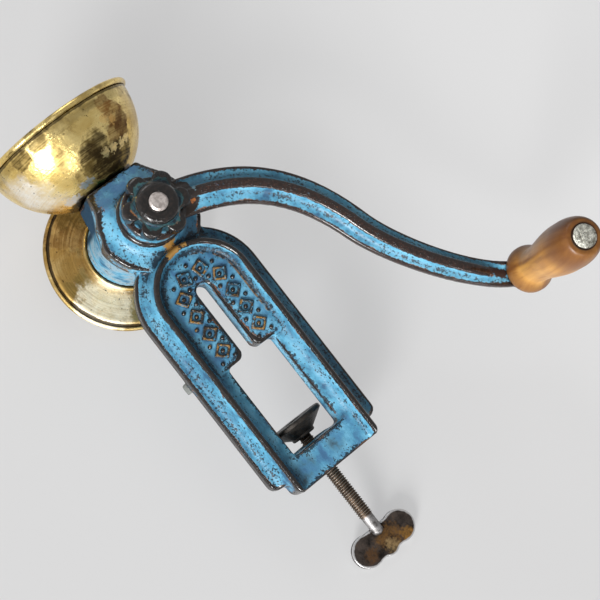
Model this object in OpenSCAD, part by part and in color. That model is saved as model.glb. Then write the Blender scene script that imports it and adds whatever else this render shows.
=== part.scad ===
// Clamp-on hand mill for nuts and seeds.
// A cast stand with a ribbed arch carries a spun hopper, a worm and a pair of toothed burrs.
// X runs along the table edge, Y from the crank towards the dish, Z up.
// The origin lies on the table edge: Y = 0 is the back of the legs, Z = 0 the table top.

/* [Stand] */
// Height of the shaft axis above the table top
axis_h = 86; // [84:0.5:92]
// Distance from the shaft axis down to the centre of the arch
arch_drop = 48.5; // [47:0.5:51]
// Radius of the arch ridge and half the spacing of the leg ridges
ridge_r = 26; // [25:0.5:28]
// Height of the ridge above the plate at the window
ridge_rise = 7.8; // [5:0.2:8.6]
// Width of the rounded crest of the ridge
ridge_w = 3.4; // [2.6:0.2:4.2]
// Thickness of the plate at the window
plate_t = 10; // [9:0.5:10.5]
// Width of the window between the legs
window_w = 30.8; // [29:0.2:34]
// Reach of the outer flange beyond the ridge
flange_reach = 9.8; // [8:0.2:12]
// Thickness of the outer flange at its lip
flange_t = 8.4; // [6:0.2:9]
// Height of the lip along the flange edge
lip_rise = 0.9; // [0.4:0.1:1.4]
// Width of the lip along the flange edge
lip_w = 1.8; // [1.2:0.2:2.6]
// Distance from the table top down to the end of the flange
flange_end = 67.5; // [62:0.5:68.5]
// Rounding of the lower corner of the flange
flange_round = 5; // [3:0.5:8]
// Thickness of the panel under the arch
panel_t = 12.2; // [11.4:0.1:13]
// Radius of the panel under the arch and half its width below
panel_r = 20.3; // [18.5:0.1:21]
// Distance from the table top down to the foot of the panel
panel_foot = 2; // [0:0.5:6]
// Width of the slot in the panel
slot_w = 8.4; // [6:0.2:10]
// Height of the slot above the foot of the panel
slot_h = 44; // [36:0.5:46]
// Rounding of the two feet of the panel at the slot
foot_round = 4; // [2:0.5:5]

/* [Clamp] */
// Distance from the table top down to the underside of the lower jaw
jaw_low = 76; // [72:0.5:80]
// Height of the lower jaw
jaw_h = 17.3; // [14:0.1:18]
// Thickness of the lower jaw in front of the table edge
jaw_t = 12; // [10.5:0.1:13]
// Rounding of the lower corners of the legs
leg_round = 4.5; // [2:0.5:6]
// Radius of the boss round the screw
jaw_boss_r = 13; // [11:0.5:15]
// Width of each upper lug
lug_w = 14; // [11:0.5:15]
// Distance of each upper lug from the middle
lug_x = 28; // [26.5:0.5:28.5]
// Reach of the upper lugs over the table
lug_reach = 19; // [16:0.5:24]
// Thickness of the upper lugs
lug_t = 6; // [4.5:0.5:8]
// Distance of the screw behind the table edge
screw_y = 7.5; // [6.5:0.5:9]
// Diameter of the screw thread
screw_d = 8; // [7:0.5:9]
// Length of the thread below the pad
thread_len = 53.5; // [50:0.5:58]
// Length of the plain shank below the thread
shank_len = 12; // [9:0.5:14]
// Distance from the table top down to the face of the pad as drawn
pad_low = 44.5; // [42:0.5:46]
// Height of the pad
pad_h = 10; // [8:0.5:11]
// Thickness of the rim of the pad
pad_rim = 2.6; // [1.8:0.2:3.4]
// Radius of the pad at its collar
pad_collar_r = 7; // [6:0.5:8]
// Space between the pad and the window edges
pad_clear = 0.7; // [0.5:0.1:1.5]
// Radius of the neck of the screw in the pad
pad_pin_r = 3; // [2.5:0.1:3.3]
// Radius of the peened head of the screw in the pad
pad_head_r = 4.6; // [4:0.1:5.2]
// Spacing of the two side lobes of the wing
wing_spread = 22; // [20:0.5:26]
// Distance from the end of the screw down to the side lobes of the wing
wing_drop = 3; // [1:0.5:4]
// Radius of the side lobes of the wing
wing_r = 9; // [8:0.5:10]
// Radius of the end lobe of the wing
wing_tip_r = 6.5; // [5.5:0.5:7.5]
// Distance from the side lobes down to the end lobe of the wing
wing_tip_drop = 3.5; // [2:0.5:5]
// Height of the web between the side lobes of the wing
wing_web = 16.5; // [10:0.5:18]
// Thickness of the wing
wing_t = 4; // [3:0.2:5]

/* [Head] */
// Radius of the front plate of the head
disc_r = 28.5; // [27.5:0.5:29.5]
// Thickness of the front plate of the head
head_t = 11.5; // [10.5:0.5:12.5]
// Thickness of the front plate at its top, where it leans back
head_top_t = 3; // [2:0.5:5]
// Height above the shaft axis where the lean of the front plate meets the boss
lean_h = 8; // [6:0.5:11]
// Hollow of the cheeks of the front plate, 1 for straight ones
cheek_hollow = 1.15; // [1:0.05:1.4]
// Radius of the bearing boss
boss_r = 17.5; // [16:0.5:19.5]
// Rounding of the edge of the bearing boss
boss_round = 1.6; // [0.8:0.2:2.4]
// Margin of the front plate outside the hollow of the boss
boss_margin = 2; // [1:0.5:4]
// Reach of the bearing boss in front of the table edge
boss_reach = 19.5; // [19:0.5:22]
// Width of the hopper neck at its top
neck_w = 33; // [31:0.5:35]
// Width of the hopper neck where it meets the barrel
neck_foot_w = 40; // [38:0.5:42]
// Height above the shaft axis where the neck leaves the barrel
neck_root = 8; // [6:0.5:10]
// Height of the neck top above the shaft axis
neck_h = 28.5; // [27.5:0.5:31]
// Radius of the barrel
barrel_r = 23; // [22.6:0.1:24]
// Distance of the end of the barrel in from the edge of the hopper bowl
barrel_in = 19; // [16:0.5:19]
// Length of the nose behind the barrel
nose_len = 10; // [9.5:0.5:12]
// Radius of the nose
nose_r = 21.8; // [21.5:0.1:22.4]
// Radius of the feed chamber
chamber_r = 16.6; // [16.2:0.1:17.2]
// Start of the feed chamber behind the table edge
chamber_start = 8; // [6:0.5:10]
// Depth of the ring seat measured from the end of the nose
seat_len = 16; // [15:0.5:17]
// Radius of the throat between hopper and feed chamber
throat_r = 12.2; // [10.5:0.1:12.6]

/* [Hopper and dish] */
// Distance of the hopper axis behind the table edge
hopper_y = 25.5; // [25.5:0.5:27]
// Outer radius of the hopper bowl
bowl_r = 44.5; // [42:0.5:44.5]
// Radius of the flat floor of the bowl
bowl_floor_r = 16.4; // [15.5:0.1:17]
// Wall of the hopper bowl
bowl_t = 1.2; // [0.9:0.1:1.6]
// Radius of the rolled rims
bead_r = 1.7; // [1.3:0.1:2]
// Wall of the ferrule
ferrule_t = 1.2; // [0.9:0.1:1.4]
// Length of the ferrule in the neck
ferrule_len = 10; // [7:0.5:11]
// Width of the ferrule flange
ferrule_lip = 2.2; // [1.6:0.1:2.6]
// Outer radius of the dish
dish_r = 45.5; // [42:0.5:46]
// Wall of the dish
dish_t = 1.2; // [0.9:0.1:1.5]
// Depth of the dish between its floor and its rim
dish_h = 4.5; // [4:0.1:7]
// Rise of the dish floor from the sleeve to the wall
dish_cone = 1.5; // [0.5:0.1:3]
// Length of the dish sleeve on the nose
sleeve_len = 8; // [6:0.5:8.5]
// Radius of the bead round the sleeve
sleeve_bead_r = 1.5; // [1.2:0.1:1.8]

/* [Grinding gear] */
// Radius of the burr ring
ring_r = 19.4; // [19.2:0.1:19.8]
// Length of the burr ring
ring_len = 15; // [14.5:0.1:15]
// Mouth radius of the burr ring at the worm
ring_in_r = 15; // [14:0.1:16]
// Mouth radius of the burr ring at the outlet
ring_out_r = 17.2; // [16.6:0.1:17.6]
// Gap between the cone and the ring at the outlet
burr_gap = 0.5; // [0.4:0.1:1]
// Radius of the cone at the worm
cone_in_r = 9.5; // [9:0.1:11]
// Length of the land at the wide end of the cone
cone_land = 2.5; // [2:0.1:3.5]
// Number of grooves in the cone
cone_grooves = 16; // [10:1:20]
// Number of grooves in the ring
ring_grooves = 20; // [12:1:26]
// Width of the grooves in the burrs
groove_w = 1.9; // [1.2:0.1:2.2]
// Slant of the grooves in the burrs
groove_slant = 14; // [6:1:20]
// Outer radius of the worm flight
worm_r = 15.8; // [14.8:0.1:15.9]
// Radius of the worm core
worm_core_r = 9; // [8.5:0.1:10]
// Number of turns of the worm
worm_turns = 2.25; // [1.5:0.25:2.5]
// Thickness of the worm flight at its tip
worm_tip_t = 2; // [1.4:0.1:2.6]
// Thickness of the worm flight at the core
worm_root_t = 3.6; // [3:0.1:4.4]
// Radius of the cross pin in the worm
worm_pin_r = 1.6; // [1.2:0.1:2]
// Radius of the set screw of the ring
set_screw_r = 2.5; // [2:0.1:2.8]
// Radius of the head of the set screw
set_head_r = 4; // [3.6:0.1:4.4]
// Height of the head of the set screw
set_head_h = 2.6; // [2:0.1:3.2]

/* [Shaft] */
// Radius of the shaft journal
journal_r = 7.5; // [7.4:0.1:8]
// Width of the square that drives the crank
square_w = 10.4; // [9.6:0.1:10.4]
// Radius of the shaft thread in the star nut
thread_r = 5; // [4.4:0.1:5.1]
// Radius of the shaft under the worm
worm_seat_r = 6; // [5.8:0.1:6.4]
// Width of the square under the cone
cone_square_w = 8; // [7.6:0.1:8.2]
// Radius of the shaft thread behind the cone
tail_r = 3.8; // [3.4:0.1:3.8]
// Length of the shaft beyond the star nut
shaft_proud = 1.5; // [0.8:0.1:2.5]
// Thickness of the thrust washer
washer_t = 1.2; // [0.8:0.1:1.6]
// Width of the cone nut across its flats
cone_nut_w = 13; // [12:0.5:14]
// Height of the cone nut
cone_nut_h = 6; // [5:0.5:7]
// Thickness of the cone washer
cone_washer_t = 1.4; // [1:0.1:2]

/* [Crank] */
// Sideways distance from the shaft to the handle
crank_reach = 146; // [130:1:160]
// Drop from the shaft to the handle
crank_drop = 144.6; // [130:0.2:155]
// Radius of the crank hub
hub_r = 16.5; // [15:0.5:17.5]
// Length of the crank hub
hub_len = 10.7; // [10.2:0.1:12]
// Step from the hub face back to the arm
arm_step = 1.1; // [1:0.1:1.6]
// Width of the arm at the hub
arm_root_w = 21; // [19:0.5:23]
// Width of the arm at the handle
arm_tip_w = 14; // [12:0.5:16]
// Thickness of the arm at its edges
arm_edge_t = 4; // [3:0.1:5]
// Height of the rib above the arm edges
arm_rib = 4.8; // [3:0.1:5.2]
// Width of the crest of the rib
rib_w = 4.4; // [3.4:0.2:5.4]
// Radius of the boss under the handle
eye_r = 11; // [10:0.5:12]
// Thickness of the boss under the handle
eye_t = 4.4; // [4.2:0.1:6]

/* [Star nut] */
// Radius over the lobes of the star nut
star_r = 18.3; // [17:0.1:19]
// Radius of each lobe
lobe_r = 5.2; // [4.6:0.1:5.6]
// Radius of the hollow ring between the lobes
star_root_r = 12.4; // [12:0.1:14]
// Thickness of the lobes
lobe_t = 8.4; // [7:0.1:9.4]
// Radius of the front boss of the star nut
star_boss_r = 11.4; // [10.5:0.1:12]
// Rounding of the front boss of the star nut
star_boss_round = 3; // [1:0.1:3.5]
// Length of the star nut with its boss
star_len = 12.4; // [11.5:0.1:13.5]
// Rounding of the star nut edges
star_round = 2.6; // [1.6:0.1:3]
// Turn of the first lobe from the X axis
star_turn = 41; // [0:1:60]

/* [Handle] */
// Length of the wooden grip
grip_len = 75; // [65:0.5:90]
// Radius of the flange at the base of the grip
grip_base_r = 13; // [12:0.2:15]
// Radius of the waist of the grip
grip_waist_r = 9.6; // [9:0.2:11]
// Radius of the swell of the grip
grip_swell_r = 13.2; // [12:0.2:15]
// Radius of the flat end of the grip
grip_end_r = 8.6; // [8:0.2:10]
// Radius of the handle rivet
rivet_r = 3.5; // [3:0.1:4]
// Radius of the heads of the rivet
rivet_head_r = 6.4; // [5.6:0.1:7]
// Height of the heads of the rivet
rivet_head_h = 2; // [1.4:0.1:2.6]

/* [Fits] */
// Radial clearance of the shaft in its bearing
bearing_clear = 0.05; // [0.02:0.01:0.1]
// Radial clearance of threads and screws in their holes
thread_clear = 0.05; // [0.02:0.01:0.1]
// Radial clearance of seated parts
seat_clear = 0.02; // [0.01:0.01:0.05]
// Clearance of the two square seats on each side
square_clear = 0.1; // [0.05:0.01:0.15]
// Axial play between turning parts
end_play = 0.1; // [0.05:0.05:0.2]
// Clearance round sunk heads
head_clear = 0.3; // [0.2:0.1:0.6]
// Travel of the cone and the worm towards the outlet
feed_out = 1.6; // [1.2:0.1:2]
// Free length between the worm and its chamber
worm_play = 2; // [1.8:0.1:2.4]

/* [Hidden] */
$fn = 64;
steps = 8;
arch_z = axis_h - arch_drop;
half_win = window_w / 2;
ridge_top = plate_t + ridge_rise;
crest_d = ridge_top - ridge_w / 2;
flange_r = ridge_r + flange_reach;
neck_top = axis_h + neck_h;
barrel_len = hopper_y + bowl_r - barrel_in;
nose_end = barrel_len + nose_len;
seat_start = nose_end - seat_len;
ring_end = seat_start + ring_len;
bowl_z = neck_top + sqrt(bowl_r * bowl_r - bowl_floor_r * bowl_floor_r);
ferrule_r = throat_r + ferrule_t;
pad_r = sqrt(pow(half_win - pad_clear, 2) + screw_y * screw_y);
screw_r = screw_d / 2;
screw_top = -pad_low - pad_h - end_play;
screw_end = screw_top - thread_len - shank_len;
hub_back = -boss_reach - 2 * end_play - washer_t;
hub_front = hub_back - hub_len;
arm_back = hub_back - arm_step;
star_back = hub_front - end_play;
star_front = star_back - star_len;
shaft_front = star_front - shaft_proud;
worm_start = chamber_start + worm_play;
cone_start = seat_start;
cone_end = ring_end + cone_land;
cone_out_r = ring_out_r - burr_gap;
nut_start = cone_end + cone_washer_t;
shaft_back = nut_start + cone_nut_h + 1;
handle_z = axis_h - crank_drop;
grip_back = arm_back - eye_t - end_play;
rib_stop = 1 - 1.25 * (grip_base_r + 1) / norm([crank_reach, crank_drop]);
grip_front = grip_back - grip_len;
pin_y = worm_start + 3.4;
set_y = seat_start + 3;
set_flat = barrel_r - 0.8;

// Points of a hollow that starts flat at a and ends upright at b
function cove(a, b) = [for (i = [0 : steps])
    [a[0] + (b[0] - a[0]) * sin(90 * i / steps), a[1] + (b[1] - a[1]) * (1 - cos(90 * i / steps))]];
function backward(p) = [for (i = [len(p) - 1 : -1 : 0]) p[i]];
// Points of a round arc
function arc(c, r, a0, a1) = [for (i = [0 : steps])
    let (t = a0 + (a1 - a0) * i / steps) [c[0] + r * cos(t), c[1] + r * sin(t)]];
function bezier(p, t) = pow(1 - t, 3) * p[0] + 3 * t * pow(1 - t, 2) * p[1]
    + 3 * t * t * (1 - t) * p[2] + pow(t, 3) * p[3];
function ease(t) = let (u = min(max(t, 0), 1)) u * u * (3 - 2 * u);

// Lays a flat outline in the XZ plane and gives it depth towards the crank
module front(depth) {
    rotate([90, 0, 0]) linear_extrude(height = depth) children();
}

// Puts a turned part on the shaft axis, its own Z pointing at the dish
module on_axis(y) {
    translate([0, y, axis_h]) rotate([-90, 0, 0]) children();
}

// Section of a leg: window edge, hollow, ridge
module ridge_section() {
    polygon(concat([[half_win, 0]],
        cove([half_win, plate_t], [ridge_r - ridge_w / 2, crest_d]),
        arc([ridge_r, crest_d], ridge_w / 2, 180, 0),
        [[ridge_r + ridge_w / 2, 0]]));
}

// Section of the flange: hollow beside the ridge, then the lip
module flange_section() {
    polygon(concat([[ridge_r, 0], [ridge_r, crest_d]],
        backward(cove([flange_r - lip_w, flange_t - lip_rise], [ridge_r + ridge_w / 2, crest_d])),
        [[flange_r - lip_w / 2, flange_t], [flange_r, flange_t - lip_rise], [flange_r, 0]]));
}

module flange_leg() {
    difference() {
        translate([0, 0, -flange_end]) linear_extrude(height = arch_z + flange_end)
            mirror([0, 1, 0]) flange_section();
        translate([flange_r - flange_round, 1, -flange_end + flange_round]) front(ridge_top + 2)
            difference() {
                translate([0, -flange_round - 1]) square(flange_round + 1);
                circle(r = flange_round);
            }
    }
}

module leg() {
    translate([0, 0, -jaw_low]) linear_extrude(height = arch_z + jaw_low)
        mirror([0, 1, 0]) ridge_section();
    flange_leg();
}

module arch() {
    translate([0, 0, arch_z]) rotate([90, 0, 0]) rotate_extrude(angle = 180) ridge_section();
    translate([0, 0, arch_z]) rotate([90, 0, 0]) rotate_extrude(angle = 180) flange_section();
}

module panel_outline() {
    difference() {
        union() {
            translate([-panel_r, -panel_foot]) square([2 * panel_r, arch_z + panel_foot]);
            translate([0, arch_z]) circle(r = panel_r);
        }
        translate([-slot_w / 2, -panel_foot - 1]) square([slot_w, slot_h - slot_w / 2 + 1]);
        translate([0, slot_h - panel_foot - slot_w / 2]) circle(d = slot_w);
        for (s = [-1, 1]) {
            translate([s * (slot_w / 2 + foot_round), -panel_foot + foot_round]) difference() {
                translate([min(0, -s * (foot_round + 1)), -foot_round - 1]) square(foot_round + 1);
                circle(r = foot_round);
            }
        }
    }
}

// What the outer lower corner of the right leg loses to its rounding
module leg_corner() {
    translate([ridge_r + ridge_w / 2 - leg_round, 1, leg_round - jaw_low]) front(ridge_top + 2)
        difference() {
            translate([0, -leg_round - 1]) square(leg_round + 1);
            circle(r = leg_round);
        }
}

module jaw() {
    translate([-ridge_r, 0, -jaw_low]) front(jaw_t) square([2 * ridge_r, jaw_h]);
    translate([-jaw_boss_r, -1, -jaw_low]) cube([2 * jaw_boss_r, screw_y + 1, jaw_h]);
    translate([0, screw_y, -jaw_low]) cylinder(r = jaw_boss_r, h = jaw_h);
}

module lug() {
    translate([lug_x - lug_w / 2, -1, 0]) cube([lug_w, lug_reach - lug_w / 2 + 1, lug_t]);
    translate([lug_x, lug_reach - lug_w / 2, 0]) cylinder(d = lug_w, h = lug_t);
}

// Front plate: round below the axis, with hollow cheeks up to the neck
function cheek(i) = let (u = i / steps)
    [neck_w / 2 + (disc_r - neck_w / 2) * pow(1 - u, cheek_hollow), neck_h * u];
module head_outline() {
    translate([0, axis_h]) circle(r = disc_r);
    translate([0, axis_h]) polygon(concat([for (i = [0 : steps]) cheek(i)],
        [for (i = [steps : -1 : 0]) [-cheek(i)[0], cheek(i)[1]]]));
}

module head_plate() {
    difference() {
        front(head_t) head_outline();
        head_lean();
        for (s = [-1, 1]) {
            translate([0, 1, axis_h]) front(head_t + 2) shoulder_cut(s);
        }
    }
}

// What the top of the front plate and of the hollow loses where they lean back
module head_lean() {
    translate([-disc_r - 1, 0, axis_h]) rotate([90, 0, 90]) linear_extrude(height = 2 * disc_r + 2)
        polygon([[1 - boss_reach, lean_h], [-head_top_t, neck_h], [-head_top_t, neck_h + 1],
            [-boss_reach - 1, neck_h + 1], [-boss_reach - 1, lean_h]]);
}

// What the round disc has outside the cheeks above the axis
module shoulder_cut(s) {
    polygon([for (p = concat([for (i = [0 : steps]) cheek(i)],
        [[neck_w / 2, 2 * disc_r], [2 * disc_r, 2 * disc_r], [2 * disc_r, 0]])) [s * p[0], p[1]]]);
}

// Bearing boss with its hollow running out on the front plate
module head_boss() {
    e = boss_round;
    difference() {
        on_axis(0) mirror([0, 0, 1]) rotate_extrude()
            polygon(concat([[0, 1], [disc_r - boss_margin, 1]],
                cove([disc_r - boss_margin, head_t - 0.1], [boss_r - 0.2, boss_reach - e]),
                [[0, boss_reach - e]]));
        head_lean();
    }
    on_axis(0) mirror([0, 0, 1]) rotate_extrude()
        polygon(concat([[0, 1], [boss_r, 1]],
            arc([boss_r - e, boss_reach - e], e, 0, 90), [[0, boss_reach]]));
}

module neck() {
    low = axis_h + neck_root;
    translate([0, hopper_y, 0]) front(hopper_y + 1)
        polygon([[-neck_w / 2, neck_top], [neck_w / 2, neck_top],
            [neck_foot_w / 2, low], [-neck_foot_w / 2, low]]);
    translate([0, hopper_y, 0]) rotate_extrude(angle = 180)
        polygon([[0, low], [neck_foot_w / 2, low], [neck_w / 2, neck_top], [0, neck_top]]);
}

module casting_bores() {
    on_axis(-boss_reach - 1)
        cylinder(r = journal_r + bearing_clear, h = boss_reach + chamber_start + 2);
    on_axis(chamber_start) cylinder(r = chamber_r, h = nose_end);
    on_axis(seat_start) cylinder(r = ring_r + seat_clear, h = seat_len + 1);
    translate([0, hopper_y, axis_h]) cylinder(r = throat_r, h = neck_h + 1);
    translate([0, hopper_y, neck_top - ferrule_len])
        cylinder(r = ferrule_r + seat_clear, h = ferrule_len + 1);
    translate([0, screw_y, -jaw_low - 1]) cylinder(r = screw_r + thread_clear, h = jaw_h + 2);
    translate([0, set_y, axis_h]) mirror([0, 0, 1])
        cylinder(r = set_screw_r + thread_clear, h = barrel_r + 1);
    translate([0, set_y, axis_h - set_flat]) mirror([0, 0, 1])
        cylinder(r = set_head_r + head_clear, h = 3);
}

module body_casting() {
    color("#4797c4") difference() {
        union() {
            leg();
            mirror([1, 0, 0]) leg();
            arch();
            front(panel_t) panel_outline();
            jaw();
            lug();
            mirror([1, 0, 0]) lug();
            head_plate();
            head_boss();
            neck();
            on_axis(-1) cylinder(r = barrel_r, h = barrel_len + 1);
            on_axis(0) cylinder(r = nose_r, h = nose_end);
        }
        casting_bores();
        leg_corner();
        mirror([1, 0, 0]) leg_corner();
    }
}

module hopper_bowl() {
    low = asin((neck_top - bowl_z) / bowl_r);
    low_in = asin((neck_top + bowl_t - bowl_z) / (bowl_r - bowl_t));
    inner_r = bowl_r - bowl_t;
    color("#c8a951") translate([0, hopper_y, 0]) rotate_extrude() {
        polygon(concat([[ferrule_r + seat_clear, neck_top]],
            [for (i = [20 : -1 : 0]) let (a = low * i / 20) [bowl_r * cos(a), bowl_z + bowl_r * sin(a)]],
            [for (i = [0 : 20]) let (a = low_in * i / 20) [inner_r * cos(a), bowl_z + inner_r * sin(a)]],
            [[ferrule_r + seat_clear, neck_top + bowl_t]]));
        translate([bowl_r + 0.3, bowl_z]) circle(r = bead_r);
    }
}

module hopper_ferrule() {
    color("#b99a46") translate([0, hopper_y, 0]) rotate_extrude()
        polygon([[throat_r, neck_top - ferrule_len], [ferrule_r, neck_top - ferrule_len],
            [ferrule_r, neck_top + bowl_t], [ferrule_r + ferrule_lip, neck_top + bowl_t],
            [ferrule_r + ferrule_lip, neck_top + bowl_t + 0.6], [ferrule_r, neck_top + bowl_t + 1.1],
            [throat_r, neck_top + bowl_t + 1.1]]);
}

module outlet_dish() {
    sleeve_in = nose_r + seat_clear;
    sleeve_out = sleeve_in + dish_t;
    floor_y = nose_end - 2;
    sleeve_y = floor_y - sleeve_len + dish_t;
    wall_r = dish_r - bead_r - 0.4;
    rim_y = floor_y + dish_cone + dish_h;
    color("#c8a951") on_axis(0) rotate_extrude() {
        polygon([[sleeve_in, sleeve_y], [sleeve_out, sleeve_y], [sleeve_out, floor_y + dish_t],
            [sleeve_in, floor_y + dish_t]]);
        polygon(concat([[sleeve_in + 0.2, floor_y], [sleeve_in + 4, floor_y]],
            [[wall_r - 3, floor_y + dish_cone]],
            arc([wall_r - 3, floor_y + dish_cone + 3], 3, -90, 0),
            [[wall_r, rim_y], [wall_r - dish_t, rim_y]],
            arc([wall_r - 3, floor_y + dish_cone + 3], 3 - dish_t, 0, -90),
            [[sleeve_in + 4, floor_y + dish_t], [sleeve_in + 0.2, floor_y + dish_t]]));
        translate([dish_r - bead_r, rim_y]) circle(r = bead_r);
        translate([sleeve_out + 0.6, sleeve_y + sleeve_bead_r]) circle(r = sleeve_bead_r);
    }
}

// Slanted square bars that cut the teeth of a burr, r0 and r1 at its two ends
module groove_bars(n, r0, r1, y0, y1, slant) {
    lean = atan2(r1 - r0, y1 - y0);
    reach = norm([r1 - r0, y1 - y0]) + 8;
    for (i = [0 : n - 1]) {
        on_axis((y0 + y1) / 2) rotate([0, 0, 360 * i / n]) translate([(r0 + r1) / 2, 0, 0])
            rotate([0, lean, 0]) rotate([slant, 0, 0]) rotate([0, 0, 45])
                cube([groove_w, groove_w, reach], center = true);
    }
}

module burr_ring() {
    color("#5b5f63") difference() {
        on_axis(seat_start) rotate_extrude()
            polygon([[ring_in_r, 0], [ring_r, 0], [ring_r, ring_len], [ring_out_r, ring_len]]);
        groove_bars(ring_grooves, ring_in_r, ring_out_r, seat_start, ring_end, groove_slant);
        translate([0, set_y, axis_h - ring_r + 1.8]) mirror([0, 0, 1])
            cylinder(r = set_screw_r + thread_clear, h = 4);
    }
}

module ring_set_screw() {
    color("#6f675d") difference() {
        union() {
            translate([0, set_y, axis_h - ring_r + 1.6]) mirror([0, 0, 1])
                cylinder(r = set_screw_r, h = set_flat - ring_r + 2);
            translate([0, set_y, axis_h - set_flat]) mirror([0, 0, 1])
                cylinder(r = set_head_r, h = set_head_h);
        }
        translate([-set_head_r - 1, set_y - 0.5, axis_h - set_flat - set_head_h - 1])
            cube([2 * set_head_r + 2, 1, 2]);
    }
}

module grinding_cone() {
    hole_w = cone_square_w + 2 * square_clear;
    color("#64686b") difference() {
        on_axis(cone_start) rotate_extrude()
            polygon([[0, 0], [cone_in_r, 0], [cone_out_r, ring_len],
                [cone_out_r, ring_len + cone_land - 0.6], [cone_out_r - 0.6, ring_len + cone_land],
                [0, ring_len + cone_land]]);
        groove_bars(cone_grooves, cone_in_r, cone_out_r, cone_start, ring_end, -groove_slant);
        translate([-hole_w / 2, cone_start - 1, axis_h - hole_w / 2])
            cube([hole_w, ring_len + cone_land + 2, hole_w]);
    }
}

module cone_washer() {
    color("#8d8f90") on_axis(cone_end) difference() {
        cylinder(r = cone_nut_w / 2 + 2, h = cone_washer_t);
        translate([0, 0, -1]) cylinder(r = tail_r + 0.2, h = cone_washer_t + 2);
    }
}

module cone_nut() {
    corner_r = cone_nut_w / sqrt(3);
    color("#7d7f80") on_axis(nut_start) difference() {
        intersection() {
            cylinder(r = corner_r, h = cone_nut_h, $fn = 6);
            rotate_extrude() polygon([[0, 0], [corner_r + 1, 0], [corner_r + 1, cone_nut_h - 1.6],
                [cone_nut_w / 2 - 0.2, cone_nut_h], [0, cone_nut_h]]);
        }
        translate([0, 0, -1]) cylinder(r = tail_r + thread_clear, h = cone_nut_h + 2);
    }
}

// Left-hand flight, so that a crank turned clockwise feeds towards the dish
module flight(r0, r1, y0, y1, turns) {
    n = ceil(turns * 24);
    root = worm_root_t / 2;
    tip = worm_tip_t / 2;
    pts = [for (i = [0 : n]) let (a = -360 * turns * i / n, c = cos(a), s = sin(a),
            y = y0 + root + (y1 - y0 - 2 * root) * i / n)
        each [[r0 * c, y - root, r0 * s], [r1 * c, y - tip, r1 * s],
            [r1 * c, y + tip, r1 * s], [r0 * c, y + root, r0 * s]]];
    sides = [for (i = [0 : n - 1], k = [0 : 3]) let (a = 4 * i + k, b = 4 * i + (k + 1) % 4)
        each [[a, b, b + 4], [a, b + 4, a + 4]]];
    ends = [[0, 3, 2], [0, 2, 1], [4 * n, 4 * n + 1, 4 * n + 2], [4 * n, 4 * n + 2, 4 * n + 3]];
    polyhedron(points = pts, faces = concat(sides, ends));
}

module feed_auger() {
    color("#74777a") difference() {
        union() {
            on_axis(worm_start) cylinder(r = worm_core_r, h = cone_start - worm_start);
            translate([0, 0, axis_h])
                flight(worm_core_r - 0.8, worm_r, worm_start, cone_start - feed_out - 0.4, worm_turns);
        }
        on_axis(worm_start - 1) cylinder(r = worm_seat_r + seat_clear, h = cone_start - worm_start + 2);
        translate([0, pin_y, axis_h]) cylinder(r = worm_pin_r + seat_clear, h = 3 * worm_r, center = true);
    }
}

module auger_pin() {
    color("#9a9c9d") translate([0, pin_y, axis_h])
        cylinder(r = worm_pin_r, h = 2 * worm_core_r - 0.6, center = true);
}

module drive_shaft() {
    journal_front = -boss_reach + 0.8;
    color("#b9b2aa") difference() {
        union() {
            on_axis(shaft_front) rotate_extrude()
                polygon([[0, 0], [thread_r - 1, 0], [thread_r, 1], [thread_r, star_len + shaft_proud + 1],
                    [0, star_len + shaft_proud + 1]]);
            translate([-square_w / 2, hub_front + 2, axis_h - square_w / 2])
                cube([square_w, journal_front - hub_front - 1, square_w]);
            on_axis(hub_front - 1) cylinder(r = thread_r, h = 5);
            on_axis(journal_front) cylinder(r = journal_r, h = chamber_start - journal_front + 0.5);
            on_axis(chamber_start) cylinder(r = worm_seat_r, h = cone_start - chamber_start - 0.1);
            translate([-cone_square_w / 2, cone_start - 1, axis_h - cone_square_w / 2])
                cube([cone_square_w, cone_end - cone_start + 0.6, cone_square_w]);
            on_axis(cone_end - 1) cylinder(r = tail_r, h = shaft_back - cone_end + 1);
        }
        translate([0, pin_y, axis_h]) cylinder(r = worm_pin_r + seat_clear, h = 3 * worm_r, center = true);
    }
}

module thrust_washer() {
    color("#a8814a") on_axis(-boss_reach - end_play - washer_t) difference() {
        cylinder(r = hub_r - 1.5, h = washer_t);
        translate([0, 0, -1]) cylinder(r = journal_r + 0.4, h = washer_t + 2);
    }
}

// Swan-necked curve from the shaft to the handle, as distances from the shaft
function crank_at(t) = t < 0.5
    ? bezier([[0, 0], [0.26 * crank_reach, -0.042 * crank_drop], [0.472 * crank_reach, -0.143 * crank_drop],
        [0.576 * crank_reach, -0.475 * crank_drop]], 2 * t)
    : bezier([[0.576 * crank_reach, -0.475 * crank_drop], [0.622 * crank_reach, -0.63 * crank_drop],
        [0.843 * crank_reach, -0.957 * crank_drop], [crank_reach, -crank_drop]], 2 * t - 1);
function crank_side(t) = let (v = crank_at(t + 0.004) - crank_at(t - 0.004)) [-v[1], v[0]] / norm(v);

// Half section of the arm at t: edge, hollow, rib
function arm_half(t) = let (w = arm_root_w / 2 + (arm_tip_w - arm_root_w) / 2 * ease(t),
        h = arm_edge_t + arm_rib * (1 - ease(1 + (t - rib_stop) / 0.1)), c = rib_w / 2)
    concat([[w, 0], [w, arm_edge_t - 0.6], [w - 0.6, arm_edge_t]],
        [for (i = [0 : 4]) [w - 1.6 - (w - 1.6 - c - 0.5) * sin(22.5 * i),
            arm_edge_t + (h - arm_edge_t - 0.7) * (1 - cos(22.5 * i))]],
        [[c, h - 0.4], [c - 0.9, h]]);
function arm_section(t) = let (p = arm_half(t)) concat(p, [for (q = backward(p)) [-q[0], q[1]]]);

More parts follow.
